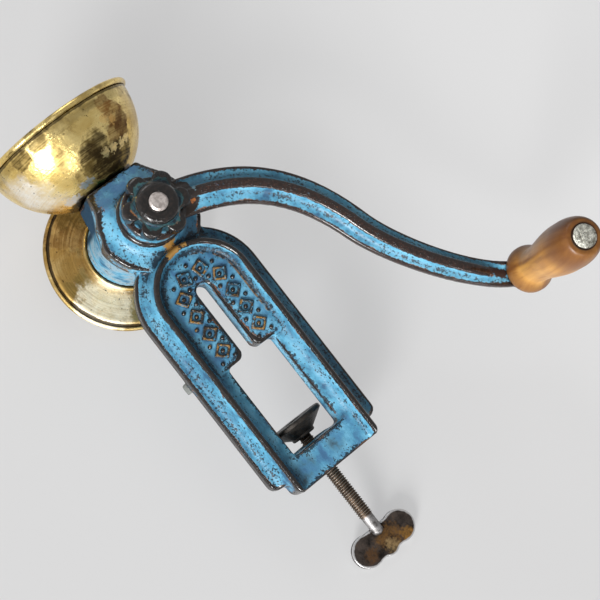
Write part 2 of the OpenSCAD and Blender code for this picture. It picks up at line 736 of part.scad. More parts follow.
module arm_sweep() {
    n = 44;
    m = len(arm_section(0));
    pts = [for (i = [0 : n]) let (t = 0.02 + 0.975 * i / n, p = crank_at(t), s = crank_side(t))
        each [for (q = arm_section(t)) [p[0] + s[0] * q[0], arm_back - q[1], axis_h + p[1] + s[1] * q[0]]]];
    sides = [for (i = [0 : n - 1], k = [0 : m - 1]) let (a = m * i + k, b = m * i + (k + 1) % m)
        each [[a, b + m, b], [a, a + m, b + m]]];
    ends = [[for (k = [0 : m - 1]) k], [for (k = [m - 1 : -1 : 0]) m * n + k]];
    polyhedron(points = pts, faces = concat(sides, ends));
}

module crank_arm() {
    hole_w = square_w + 2 * square_clear;
    color("#4797c4") difference() {
        union() {
            arm_sweep();
            on_axis(hub_front) cylinder(r = hub_r, h = hub_len);
            translate([crank_reach, arm_back, handle_z]) rotate([90, 0, 0]) cylinder(r = eye_r, h = eye_t);
        }
        translate([-hole_w / 2, hub_front - 1, axis_h - hole_w / 2]) cube([hole_w, hub_len + 2, hole_w]);
        translate([crank_reach, arm_back + 1, handle_z]) rotate([90, 0, 0])
            cylinder(r = rivet_r + seat_clear, h = eye_t + 2);
    }
}

module star_outline() {
    circle(r = star_root_r);
    for (i = [0 : 5]) {
        rotate(star_turn + 60 * i) translate([star_r - lobe_r, 0]) circle(r = lobe_r);
    }
}

module star_nut() {
    e = star_round;
    color("#4b4a40") translate([0, star_back, axis_h]) rotate([90, 0, 0]) difference() {
        union() {
            intersection() {
                linear_extrude(height = lobe_t) star_outline();
                rotate_extrude() polygon(concat([[0, 0]],
                    arc([star_r + 0.1 - e, e], e, -90, 0), arc([star_r + 0.1 - e, lobe_t - e], e, 0, 90),
                    [[0, lobe_t]]));
            }
            rotate_extrude() polygon(concat([[0, 1], [star_boss_r, 1]],
                arc([star_boss_r - star_boss_round, star_len - star_boss_round],
                    star_boss_round, 0, 90), [[0, star_len]]));
        }
        translate([0, 0, -1]) cylinder(r = thread_r + thread_clear, h = star_len + 2);
    }
}

// Turned outline of the grip: flange, waist, swell, end
function grip_r(u) = u < 0.16
    ? grip_base_r + (grip_waist_r - grip_base_r) * ease((u - 0.035) / 0.125)
    : grip_waist_r + (grip_swell_r - grip_waist_r) * ease((u - 0.16) / 0.52);

module handle_grip() {
    round_r = grip_swell_r - grip_end_r;
    color("#a9713a") translate([crank_reach, grip_back, handle_z]) rotate([90, 0, 0]) rotate_extrude()
        polygon(concat([[rivet_r + bearing_clear, 0], [grip_base_r - 0.8, 0]],
            [for (i = [0 : 26]) let (u = 0.012 + 0.758 * i / 26) [grip_r(u), u * grip_len]],
            [for (i = [1 : steps]) [grip_end_r + round_r * cos(90 * i / steps),
                grip_len * (0.77 + 0.23 * sin(90 * i / steps))]],
            [[rivet_r + bearing_clear, grip_len]]));
}

module handle_spindle() {
    h = rivet_head_h;
    tip = eye_t + grip_len + 2 * end_play;
    color("#8f8a84") translate([crank_reach, arm_back, handle_z]) rotate([90, 0, 0]) rotate_extrude()
        polygon([[0, -h], [rivet_head_r - 1, -h], [rivet_head_r, -h * 0.4], [rivet_head_r, 0], [rivet_r, 0],
            [rivet_r, tip], [rivet_head_r, tip], [rivet_head_r, tip + h * 0.4],
            [rivet_head_r - 1.6, tip + h], [0, tip + h]]);
}

module clamp_screw() {
    recess = -pad_low - 2.4;
    color("#6d6257") translate([0, screw_y, 0]) rotate_extrude()
        polygon(concat(arc([0, screw_end + screw_r], screw_r, -90, 0),
            [[screw_r, screw_top - 0.8], [screw_r - 0.8, screw_top], [pad_pin_r, screw_top],
            [pad_pin_r, recess + end_play], [pad_head_r, recess + end_play], [pad_head_r, recess + 1.2],
            [pad_head_r - 1, recess + 1.9], [0, recess + 1.9]]));
}

module wing_outline() {
    mid = screw_end - wing_drop;
    for (s = [-1, 1]) {
        translate([s * wing_spread / 2, mid]) circle(r = wing_r);
    }
    translate([0, mid - wing_tip_drop]) circle(r = wing_tip_r);
    translate([-wing_spread / 2, mid - wing_web / 2]) square([wing_spread, wing_web]);
}

module clamp_wing() {
    color("#5a5348") difference() {
        translate([0, screw_y + wing_t, 0]) front(wing_t) wing_outline();
        translate([0, screw_y, screw_end + screw_r])
            cylinder(r = screw_r + seat_clear, h = thread_len);
        translate([0, screw_y, screw_end + screw_r]) sphere(r = screw_r + seat_clear);
    }
}

module clamp_pad() {
    recess = -pad_low - 2.4;
    color("#3c3936") translate([0, screw_y, 0]) difference() {
        rotate_extrude() polygon([[0, -pad_low - pad_h], [pad_collar_r, -pad_low - pad_h],
            [pad_collar_r, -pad_low - pad_h + 1.6], [pad_r, -pad_low - pad_rim], [pad_r, -pad_low - 0.6],
            [pad_r - 0.6, -pad_low], [0, -pad_low]]);
        translate([0, 0, -pad_low - pad_h - 1]) cylinder(r = pad_pin_r + bearing_clear, h = pad_h + 2);
        translate([0, 0, recess]) cylinder(r = pad_head_r + head_clear, h = pad_h);
    }
}

body_casting();
hopper_bowl();
hopper_ferrule();
outlet_dish();
burr_ring();
ring_set_screw();
grinding_cone();
cone_washer();
cone_nut();
feed_auger();
auger_pin();
drive_shaft();
thrust_washer();
crank_arm();
star_nut();
handle_grip();
handle_spindle();
clamp_screw();
clamp_wing();
clamp_pad();
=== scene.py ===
import math

import bmesh
import bpy
import numpy as np
from mathutils import Matrix, Vector, noise


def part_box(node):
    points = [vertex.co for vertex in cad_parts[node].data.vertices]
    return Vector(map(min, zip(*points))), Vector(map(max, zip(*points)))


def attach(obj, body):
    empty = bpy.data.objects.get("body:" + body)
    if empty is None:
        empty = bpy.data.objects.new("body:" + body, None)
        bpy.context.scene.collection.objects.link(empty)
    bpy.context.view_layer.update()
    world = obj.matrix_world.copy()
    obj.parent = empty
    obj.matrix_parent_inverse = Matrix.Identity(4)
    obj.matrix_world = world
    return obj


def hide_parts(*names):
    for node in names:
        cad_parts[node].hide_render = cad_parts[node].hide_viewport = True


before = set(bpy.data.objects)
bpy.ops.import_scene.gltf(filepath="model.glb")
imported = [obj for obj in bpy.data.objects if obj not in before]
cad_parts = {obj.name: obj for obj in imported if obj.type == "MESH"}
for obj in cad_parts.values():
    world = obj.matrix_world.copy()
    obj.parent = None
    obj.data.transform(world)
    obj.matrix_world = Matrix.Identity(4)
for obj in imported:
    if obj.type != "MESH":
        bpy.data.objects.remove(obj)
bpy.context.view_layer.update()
print("frame loaded:", len(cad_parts), "nodes")


# Shader helpers
def addNode(tree, kind, settings=None, sockets=None):
    node = tree.nodes.new(kind)
    for key, value in (settings or {}).items():
        setattr(node, key, value)
    for key, value in (sockets or {}).items():
        feed(tree, node.inputs[key], value)
    return node


def feed(tree, socket, value):
    if isinstance(value, bpy.types.NodeSocket):
        tree.links.new(value, socket)
    elif socket.type == "RGBA" and len(value) == 3:
        socket.default_value = (*value, 1.0)
    else:
        socket.default_value = value


def startMaterial(name):
    material = bpy.data.materials.new(name)
    material.use_nodes = True
    tree = material.node_tree
    shader = tree.nodes["Principled BSDF"]
    coord = addNode(tree, "ShaderNodeTexCoord").outputs["Object"]
    return material, tree, shader, coord


def calc(tree, operation, a, b=0.0, clamp=False):
    node = addNode(tree, "ShaderNodeMath", {"operation": operation, "use_clamp": clamp}, {0: a, 1: b})
    return node.outputs[0]


def plus(tree, a, b):
    return calc(tree, "ADD", a, b)


def minus(tree, a, b):
    return calc(tree, "SUBTRACT", a, b)


def times(tree, a, b):
    return calc(tree, "MULTIPLY", a, b)


def most(tree, a, b):
    return calc(tree, "MAXIMUM", a, b)


def weighted(tree, a, b, shares):
    return plus(tree, times(tree, a, shares[0]), times(tree, b, shares[1]))


# Noise runs from 0 to 1 about a half
def centred(tree, value):
    return minus(tree, value, 0.5)


def vectors(tree, operation, a, b=(0, 0, 0)):
    return addNode(tree, "ShaderNodeVectorMath", {"operation": operation}, {0: a, 1: b}).outputs


def grain(tree, coord, scale, detail=4.0, rough=0.55, twist=0.0):
    node = addNode(tree, "ShaderNodeTexNoise", None, {
        "Vector": coord, "Scale": scale, "Detail": detail, "Roughness": rough, "Distortion": twist})
    return node.outputs["Fac"]


def band(tree, value, low, high):
    node = addNode(tree, "ShaderNodeMapRange", {"interpolation_type": "SMOOTHSTEP"}, {
        "Value": value, "From Min": low, "From Max": high})
    return node.outputs["Result"]


def blendColor(tree, share, a, b):
    node = addNode(tree, "ShaderNodeMix", {"data_type": "RGBA"}, {0: share, 6: a, 7: b})
    return node.outputs[2]


def blendValue(tree, share, a, b):
    node = addNode(tree, "ShaderNodeMix", {"data_type": "FLOAT"}, {0: share, 2: a, 3: b})
    return node.outputs[0]


def ramp(tree, value, places, colors):
    node = addNode(tree, "ShaderNodeValToRGB", None, {"Fac": value})
    elements = node.color_ramp.elements
    while len(elements) < len(places):
        elements.new(0.5)
    for element, place, color in zip(elements, places, colors):
        element.position = place
        element.color = (*color, 1.0)
    return node.outputs["Color"]


def stretched(tree, coord, scale):
    node = addNode(tree, "ShaderNodeMapping", {"vector_type": "POINT"}, {"Vector": coord, "Scale": scale})
    return node.outputs["Vector"]


def split(tree, coord):
    return addNode(tree, "ShaderNodeSeparateXYZ", None, {0: coord}).outputs


def surfaceMark(tree, name):
    return addNode(tree, "ShaderNodeAttribute", {"attribute_name": name}).outputs["Fac"]


# 1 inside the inner distance from a place, 0 beyond the outer one
def near(tree, coord, place, inner, outer):
    return band(tree, vectors(tree, "DISTANCE", coord, place)["Value"], outer, inner)


# Distance from a line through a place along X, Y or Z
def fromLine(tree, coord, place, along):
    shift = vectors(tree, "SUBTRACT", coord, place)[0]
    across = vectors(tree, "MULTIPLY", shift, [0.0 if axis == along else 1.0 for axis in "XYZ"])[0]
    return vectors(tree, "LENGTH", across)["Value"]


# Occlusion: 1 in corners and grooves, 0 in the open; the materials paint shade there by it
def creases(tree, reach, low, high):
    node = addNode(tree, "ShaderNodeAmbientOcclusion", {"samples": 8}, {"Distance": reach})
    return band(tree, node.outputs["AO"], high, low)


# Spot with a ragged edge
def blotch(tree, coord, place, inner, outer, ragged, soft=0.06):
    close = near(tree, coord, place, inner, outer)
    spot = band(tree, plus(tree, close, ragged), 0.52 - soft, 0.52 + soft)
    return times(tree, spot, band(tree, close, 0.0, 0.2))


def relief(tree, shader, height, depth, strength=1.0):
    bump = addNode(tree, "ShaderNodeBump", None, {"Height": height, "Distance": depth, "Strength": strength})
    tree.links.new(bump.outputs["Normal"], shader.inputs["Normal"])


# Mesh helpers
def placeObject(name, bm):
    mesh = bpy.data.meshes.new(name)
    bm.to_mesh(mesh)
    bm.free()
    made = bpy.data.objects.new(name, mesh)
    bpy.context.scene.collection.objects.link(made)
    return made


def dressPiece(piece, material, body, slot, replaced=(), smooth=True):
    piece.data.materials.clear()
    piece.data.materials.append(material)
    if smooth:
        piece.data.shade_smooth()
    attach(piece, body)
    if replaced:
        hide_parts(*replaced)
    print(piece.name, "has", len(piece.data.polygons), "faces")


def finishPiece(name, bm, *dress, **settings):
    dressPiece(placeObject(name, bm), *dress, **settings)


# Round piece from an outline of (radius, height) pairs spun about a line
def turned(outline, centre, axis, steps, loop=False):
    bm = bmesh.new()
    axis = Vector(axis)
    side = Vector((1, 0, 0))
    verts = [bm.verts.new(Vector(centre) + side * r + axis * h) for r, h in outline]
    pairs = list(zip(verts, verts[1:])) + ([(verts[-1], verts[0])] if loop else [])
    edges = [bm.edges.new(pair) for pair in pairs]
    bmesh.ops.spin(bm, geom=verts + edges, cent=centre, axis=axis, angle=2 * math.pi, steps=steps,
        use_merge=True)
    bmesh.ops.remove_doubles(bm, verts=bm.verts, dist=1e-6)
    bmesh.ops.recalc_face_normals(bm, faces=bm.faces)
    return bm


def arcPoints(centre, radius, start, end, count):
    turns = [math.radians(start + (end - start) * i / count) for i in range(count + 1)]
    return [(centre[0] + radius * math.cos(t), centre[1] + radius * math.sin(t)) for t in turns]


def ease(t):
    u = min(max(t, 0.0), 1.0)
    return u * u * (3 - 2 * u)


def nodeCopy(nodeName):
    bm = bmesh.new()
    bm.from_mesh(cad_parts[nodeName].data)
    bmesh.ops.remove_doubles(bm, verts=bm.verts, dist=1e-6)
    return bm


# Piece with its edges softened the way a casting's are
def softMesh(bm, pieceName, look):
    piece = placeObject(pieceName, bm)
    remesh = piece.modifiers.new("remesh", "REMESH")
    remesh.mode = "VOXEL"
    remesh.voxel_size = look["voxel"]
    solid = bpy.data.meshes.new_from_object(piece.evaluated_get(bpy.context.evaluated_depsgraph_get()))
    piece.modifiers.clear()
    piece.data = solid
    bm = bmesh.new()
    bm.from_mesh(solid)
    for _ in range(look["rounds"]):
        bmesh.ops.smooth_vert(bm, verts=bm.verts, factor=0.5,
            use_axis_x=True, use_axis_y=True, use_axis_z=True)
    bm.to_mesh(solid)
    bm.free()
    markWear(solid, look)
    return piece


# Stores how far each point stands out of the surface round it, or lies in it, close by and further off
def markWear(mesh, look):
    count = len(mesh.vertices)
    place = np.empty(count * 3)
    mesh.vertices.foreach_get("co", place)
    place = place.reshape(-1, 3)
    normal = np.empty(count * 3)
    mesh.vertices.foreach_get("normal", normal)
    normal = normal.reshape(-1, 3)
    ends = np.empty(len(mesh.edges) * 2, int)
    mesh.edges.foreach_get("vertices", ends)
    first, second = ends.reshape(-1, 2).T
    both, other = np.concatenate([first, second]), np.concatenate([second, first])
    share = np.bincount(both, minlength=count)
    soft = place.copy()
    stand = []
    for rounds, depth in look["wear"]:
        for _ in range(rounds):
            mean = [np.bincount(both, soft[other, k], count) / share for k in range(3)]
            soft = 0.4 * soft + 0.6 * np.stack(mean, 1)
        stand.append(((place - soft) * normal).sum(1) / depth)
    marks = {"wear": np.maximum(*stand), "hollow": np.maximum(-stand[0], -stand[1])}
    for name, values in marks.items():
        mark = mesh.attributes.new(name, "FLOAT", "POINT")
        mark.data.foreach_set("value", np.clip(values, 0, 1.5).astype(np.float32))


# Worn paint over dark iron, bare where the surface stands out
paintLook = dict(light=(0.19, 0.50, 0.69), middle=(0.095, 0.33, 0.49), deep=(0.034, 0.105, 0.19),
    soil=(0.018, 0.065, 0.125), speck=(0.006, 0.009, 0.014), creaseShade=(0.004, 0.005, 0.006),
    iron=(0.0055, 0.0038, 0.003), bareIron=(0.024, 0.015, 0.011), rust=(0.25, 0.095, 0.025),
    wearFrom=0.30, wearTo=0.44, specks=0.56, shine=0.30, patina=0.54, flow=(1.0, 1.0, 1.0), bump=0.7)
paintMix = dict(broad=45, patch=170, fine=620, cells=(620.0, 1150.0), rustSpread=95,
    mottle=(0.38, 0.62), mottleStops=(0.37, 0.48, 0.60), dotFall=-0.36, dotTop=0.61,
    hollowDarkening=(0.08, 0.8), hollowDarkeningShare=0.7, ragged=(0.8, 0.7), hollowKept=0.7, torn=1.8,
    crowd=(0.24, 0.20), specks=(0.42, 0.58), lumpSpecks=0.3, keptSpecks=0.05, speckEdge=0.05, speckShare=0.9,
    rustLead=0.12, rustEdge=0.08, ironMottle=(0.42, 0.72), crease=(0.0018, 0.35, 0.80), creaseShare=0.92,
    glossSpread=0.25, glossBelow=0.1, bareGloss=0.15, mirror=(0.38, 0.62), mattGloss=0.75, mattMirror=0.12,
    height=(-0.35, 0.6), fineHeight=(0.5, 0.15), speckHeight=-0.25, depth=0.0006)


def wornPaint(name, look, spots=(), spare=None, extra=None, matt=None, grit=None):
    material, tree, shader, coord = startMaterial(name)
    mix = paintMix
    wear, hollow = surfaceMark(tree, "wear"), surfaceMark(tree, "hollow")
    flow = stretched(tree, coord, look["flow"])
    broad = grain(tree, flow, mix["broad"], 3)
    patch = grain(tree, flow, mix["patch"], 5, 0.6)
    fine = grain(tree, coord, mix["fine"], 4, 0.65)
    cells = [addNode(tree, "ShaderNodeTexVoronoi", None, {"Vector": coord, "Scale": scale}).outputs["Distance"]
        for scale in mix["cells"]]
    dots = plus(tree, times(tree, calc(tree, "MINIMUM", *cells), mix["dotFall"]), mix["dotTop"])
    lump = centred(tree, patch)
    chip = centred(tree, fine)
    mottle = weighted(tree, broad, patch, mix["mottle"])
    color = ramp(tree, mottle, mix["mottleStops"], (look["deep"], look["middle"], look["light"]))
    if extra:
        color = extra(tree, coord, color, lump)
    # Darker paint in the hollows and in random patches
    hollowDarkening = times(tree, band(tree, plus(tree, hollow, lump), *mix["hollowDarkening"]), mix["hollowDarkeningShare"])
    color = blendColor(tree, hollowDarkening, color, look["soil"])
    ragged = weighted(tree, lump, chip, mix["ragged"])
    edge = plus(tree, minus(tree, wear, times(tree, hollow, mix["hollowKept"])), ragged)
    kept = spare(tree, coord) if spare else 0.0
    edge = minus(tree, edge, kept)
    # specks crowd towards the worn edges and into the hollows
    crowd = weighted(tree, wear, hollow, mix["crowd"])
    specks = weighted(tree, fine, dots, mix["specks"])
    specks = plus(tree, specks, plus(tree, crowd, times(tree, lump, mix["lumpSpecks"])))
    specks = minus(tree, specks, times(tree, kept, mix["keptSpecks"]))
    if grit:
        specks = plus(tree, specks, grit(tree, coord))
    speckMask = band(tree, specks, look["specks"], look["specks"] + mix["speckEdge"])
    color = blendColor(tree, times(tree, speckMask, mix["speckShare"]), color, look["speck"])
    bare = band(tree, edge, look["wearFrom"], look["wearTo"])
    rusty = times(tree, band(tree, edge, look["wearFrom"] - mix["rustLead"], look["wearFrom"]),
        band(tree, grain(tree, coord, mix["rustSpread"], 3), look["patina"], look["patina"] + mix["rustEdge"]))
    color = blendColor(tree, rusty, color, look["rust"])
    iron = blendColor(tree, band(tree, fine, *mix["ironMottle"]), look["iron"], look["bareIron"])
    color = blendColor(tree, bare, color, iron)
    torn = times(tree, ragged, mix["torn"])
    for place, inner, outer, tint in spots:
        color = blendColor(tree, blotch(tree, coord, place, inner, outer, torn), color, tint)
    # Painted shade: darker towards the crease shade colour in corners and grooves, by occlusion
    crease = times(tree, creases(tree, *mix["crease"]), mix["creaseShare"])
    color = blendColor(tree, crease, color, look["creaseShade"])
    tree.links.new(color, shader.inputs["Base Color"])
    gloss = plus(tree, times(tree, fine, mix["glossSpread"]), look["shine"] - mix["glossBelow"])
    gloss = blendValue(tree, bare, gloss, mix["bareGloss"])
    mirror = blendValue(tree, bare, *mix["mirror"])
    if matt:
        flat = matt(tree, coord)
        gloss = blendValue(tree, flat, gloss, mix["mattGloss"])
        mirror = blendValue(tree, flat, mirror, mix["mattMirror"])
    tree.links.new(gloss, shader.inputs["Roughness"])
    tree.links.new(mirror, shader.inputs["Specular IOR Level"])
    height = weighted(tree, bare, patch, mix["height"])
    height = plus(tree, height, times(tree, fine, blendValue(tree, bare, *mix["fineHeight"])))
    height = plus(tree, height, times(tree, speckMask, mix["speckHeight"]))
    relief(tree, shader, height, mix["depth"], look["bump"])
    return material


# Spun brass with rings from the lathe, patches of tarnish, of painted shade, painted reflection and painted light,
# and painted shade in creases and along dark lines
brassLook = dict(bright=(0.97, 0.76, 0.32), warm=(0.70, 0.48, 0.14), dark=(0.020, 0.012, 0.006), shine=0.25,
    stain=(0.22, 0.13, 0.035))
brassMix = dict(rings=1500, wander=22.0, streak=260, cloud=38, blot=120, fleck=700, tear=560, ragged=(1.7, 0.5),
    torn=2.6, cloudStops=(0.38, 0.62), ringBand=(0.46, 0.70), ringShare=0.38, dull=(0.53, 0.68), dullShare=0.5,
    tornBelow=0.15, streakBand=(0.36, 0.60), thinnest=0.55, paleFrom=0.5, grooveWander=2.4, pits=(0.64, 0.72),
    pitShare=0.8, crease=(0.0022, 0.35, 0.85), creaseShare=0.95, metallic=(1.0, 0.45), mirror=(0.5, 0.05),
    glossSpread=0.16, glossBelow=0.08, dullGloss=0.22, relief=(0.22, 2.2), blotRelief=0.7, depth=0.0007, bump=0.6)
brassPatchTints = dict(brown=(0.25, 0.115, 0.028), deepBrown=(0.13, 0.06, 0.016), olive=(0.100, 0.066, 0.018),
    deepOlive=(0.030, 0.019, 0.007), flake=(0.86, 0.66, 0.30), orange=(0.80, 0.48, 0.15),
    solder=(0.66, 0.67, 0.71), silver=(0.97, 0.93, 0.84), tan=(0.26, 0.15, 0.04), straw=(0.92, 0.86, 0.68))


def spunBrass(name, look, centre, along, patches, grooves):
    material, tree, shader, coord = startMaterial(name)
    mix = brassMix
    fields = dict(radius=fromLine(tree, coord, centre, along), height=split(tree, coord)["XYZ".index(along)])
    lathe = addNode(tree, "ShaderNodeCombineXYZ", None, {0: times(tree, fields["radius"], mix["rings"]),
        1: times(tree, fields["height"], mix["rings"]), 2: 0.0}).outputs[0]
    wander = addNode(tree, "ShaderNodeVectorMath", {"operation": "SCALE"}, {0: coord, "Scale": mix["wander"]})
    rings = grain(tree, vectors(tree, "ADD", lathe, wander.outputs[0])[0], 1.0, 3, 0.6)
    streak = times(tree, plus(tree, rings, grain(tree, coord, mix["streak"], 4, 0.6)), 0.5)
    cloud = grain(tree, coord, mix["cloud"], 5, 0.6, 0.6)
    blot = grain(tree, coord, mix["blot"], 6, 0.65)
    fleck = grain(tree, coord, mix["fleck"], 3)
    ragged = weighted(tree, centred(tree, blot), centred(tree, fleck), mix["ragged"])
    torn = times(tree, centred(tree, grain(tree, coord, mix["tear"], 5, 0.65)), mix["torn"])
    color = ramp(tree, cloud, mix["cloudStops"], (look["warm"], look["bright"]))
    ringShare = times(tree, band(tree, rings, *mix["ringBand"]), mix["ringShare"])
    color = blendColor(tree, ringShare, color, look["warm"])
    dull = times(tree, band(tree, blot, *mix["dull"]), mix["dullShare"])
    color = blendColor(tree, dull, color, look["stain"])
    # dark patches, tarnish and painted shade and reflection alike, are a dull skin; pale ones, some of them painted
    # light, are bare metal
    darkPatches = 0.0
    for place, inner, outer, amount, soft, tintName in patches:
        tint = brassPatchTints[tintName]
        rough = torn if soft < mix["tornBelow"] else ragged
        spot = times(tree, blotch(tree, coord, place, inner, outer, rough, soft), amount)
        thin = times(tree, spot, blendValue(tree, band(tree, streak, *mix["streakBand"]), mix["thinnest"], 1.0))
        color = blendColor(tree, thin, color, tint)
        dull = most(tree, dull, spot)
        if max(tint) > mix["paleFrom"]:
            darkPatches = times(tree, darkPatches, minus(tree, 1.0, spot))
        else:
            darkPatches = most(tree, darkPatches, spot)
    # Dark lines along given rings or heights; the bowl and dish use them mostly for painted shade
    for field, ring, half, amount in grooves:
        off = calc(tree, "ABSOLUTE", minus(tree, fields[field], ring))
        off = minus(tree, off, times(tree, centred(tree, blot), half * mix["grooveWander"]))
        line = times(tree, band(tree, off, half, half * 0.5), amount)
        color = blendColor(tree, line, color, look["dark"])
    pits = times(tree, band(tree, fleck, *mix["pits"]), mix["pitShare"])
    color = blendColor(tree, pits, color, look["dark"])
    # Painted shade: darker in corners and grooves, by occlusion
    crease = times(tree, creases(tree, *mix["crease"]), mix["creaseShare"])
    color = blendColor(tree, crease, color, look["dark"])
    tree.links.new(color, shader.inputs["Base Color"])
    tree.links.new(blendValue(tree, darkPatches, *mix["metallic"]), shader.inputs["Metallic"])
    tree.links.new(blendValue(tree, darkPatches, *mix["mirror"]), shader.inputs["Specular IOR Level"])
    gloss = plus(tree, times(tree, rings, mix["glossSpread"]), look["shine"] - mix["glossBelow"])
    gloss = plus(tree, gloss, times(tree, dull, mix["dullGloss"]))
    tree.links.new(gloss, shader.inputs["Roughness"])
    height = weighted(tree, rings, cloud, mix["relief"])
    height = plus(tree, height, times(tree, blot, mix["blotRelief"]))
    relief(tree, shader, height, mix["depth"], mix["bump"])
    return material


# Bare or browned metal with a mottled skin
metalMix = dict(fleck=4, stops=(0.38, 0.62), dotEdge=0.08, dotShare=0.7, dotTint=0.35, gloss=(-0.1, 0.14),
    fleckHeight=0.3, bump=0.7)


def plainMetal(name, dark, light, shine, metallic=0.9, scale=300, depth=0.0003, dots=0.66):
    material, tree, shader, coord = startMaterial(name)
    mix = metalMix
    cloud = grain(tree, coord, scale, 5, 0.62)
    fleck = grain(tree, coord, scale * mix["fleck"], 3)
    color = ramp(tree, cloud, mix["stops"], (dark, light))
    spots = times(tree, band(tree, fleck, dots, dots + mix["dotEdge"]), mix["dotShare"])
    color = blendColor(tree, spots, color, tuple(mix["dotTint"] * c for c in dark))
    tree.links.new(color, shader.inputs["Base Color"])
    shader.inputs["Metallic"].default_value = metallic
    low, high = mix["gloss"]
    tree.links.new(blendValue(tree, cloud, shine + low, shine + high), shader.inputs["Roughness"])
    relief(tree, shader, plus(tree, cloud, times(tree, fleck, mix["fleckHeight"])), depth, mix["bump"])
    return material


# Cast stand: the pairs are where a tint starts and where it is full
standCast = dict(voxel=0.00088, rounds=3, wear=((12, 0.00045), (70, 0.0016)), archHeight=0.0375,
    flow=(1.0, 1.0, 0.65), ochre=(0.36, 0.19, 0.045), shade=(0.012, 0.040, 0.075),
    ridgeArch=(0.0236, 0.0226), backY=(-0.003, 0.004), shoulderX=(-0.002, 0.006), shoulderZ=(0.094, 0.100),
    jawZ=(-0.040, -0.044), keptPaint=0.42, keptMore=0.25, mattY=(-0.006, 0.002), gritZ=(0.096, 0.110), grit=0.01,
    faded=(0.26, 0.31, 0.34), fadedY=(0.004, 0.012), fadedLump=(-0.12, 0.10), fadedShare=0.8,
    flangeX=(0.0280, 0.0325), flangeLump=(-0.22, 0.06), flangeShare=0.7,
    nook=(0.0160, -0.0120, 0.0705), nookReach=(0.003, 0.011), nookShare=0.85,
    cheekX=(-0.0150, -0.0170), cheekY=(-0.005, 0.0), cheekZ=(0.0965, 0.1000),
    violet=(0.072, 0.19, 0.36), panelArch=(0.0205, 0.0195), panelY=(-0.0112, -0.0118), panelLump=(-0.10, 0.08),
    panelShare=(0.50, 0.18),
    crown=(0.080, 0.225, 0.42), crownZ=(0.096, 0.108), crownY=(0.0, -0.004), crownLump=(0.20, -0.12),
    stain=(0.030, 0.036, 0.042), stainLump=(-0.12, 0.12), stainShare=0.95,
    stains=[((-0.0140, -0.0120, -0.0666), 0.0090), ((0.0052, -0.0120, -0.0660), 0.0075),
        ((-0.0205, -0.0120, -0.0700), 0.0085)],
    lineArch=0.0207, lineHalf=(0.0008, 0.0004), lineX=(0.004, 0.010), lineY=(-0.010, -0.011), lineZ=(0.004, 0.012),
    lineLump=(-0.06, 0.02),
    ochreSpots=[((-0.0015, -0.0165, 0.0655), 0.0075), ((-0.0042, -0.0165, 0.0632), 0.0050),
        ((0.0020, -0.0165, 0.0668), 0.0042), ((0.0048, -0.0165, 0.0640), 0.0040)],
    lug=(-0.0350, 0.0085, 0.0034), lugReach=(0.004, 0.008), lugGrey=(0.20, 0.21, 0.20))


# Distance out from the middle of the legs, or from the middle of the arch above them
def archField(tree, coord):
    axes = split(tree, coord)
    above = most(tree, minus(tree, axes["Z"], standCast["archHeight"]), 0.0)
    square = plus(tree, times(tree, axes["X"], axes["X"]), times(tree, above, above))
    return calc(tree, "SQRT", square)


# Edges inside the ridge keep their paint, most of all on the jaw, and so do the shoulder and the back
def sparedEdges(tree, coord):
    look = standCast
    x, y, z = split(tree, coord)
    inside = band(tree, archField(tree, coord), *look["ridgeArch"])
    behind = band(tree, y, *look["backY"])
    shoulder = times(tree, band(tree, x, *look["shoulderX"]), band(tree, z, *look["shoulderZ"]))
    jaw = times(tree, inside, band(tree, z, *look["jawZ"]))
    kept = times(tree, most(tree, inside, behind), look["keptPaint"])
    return plus(tree, kept, times(tree, most(tree, jaw, shoulder), look["keptMore"]))


def behindPlate(tree, coord):
    return band(tree, split(tree, coord)["Y"], *standCast["mattY"])


# A few more specks on the upper part of the head
def standGrit(tree, coord):
    return times(tree, band(tree, split(tree, coord)["Z"], *standCast["gritZ"]), standCast["grit"])


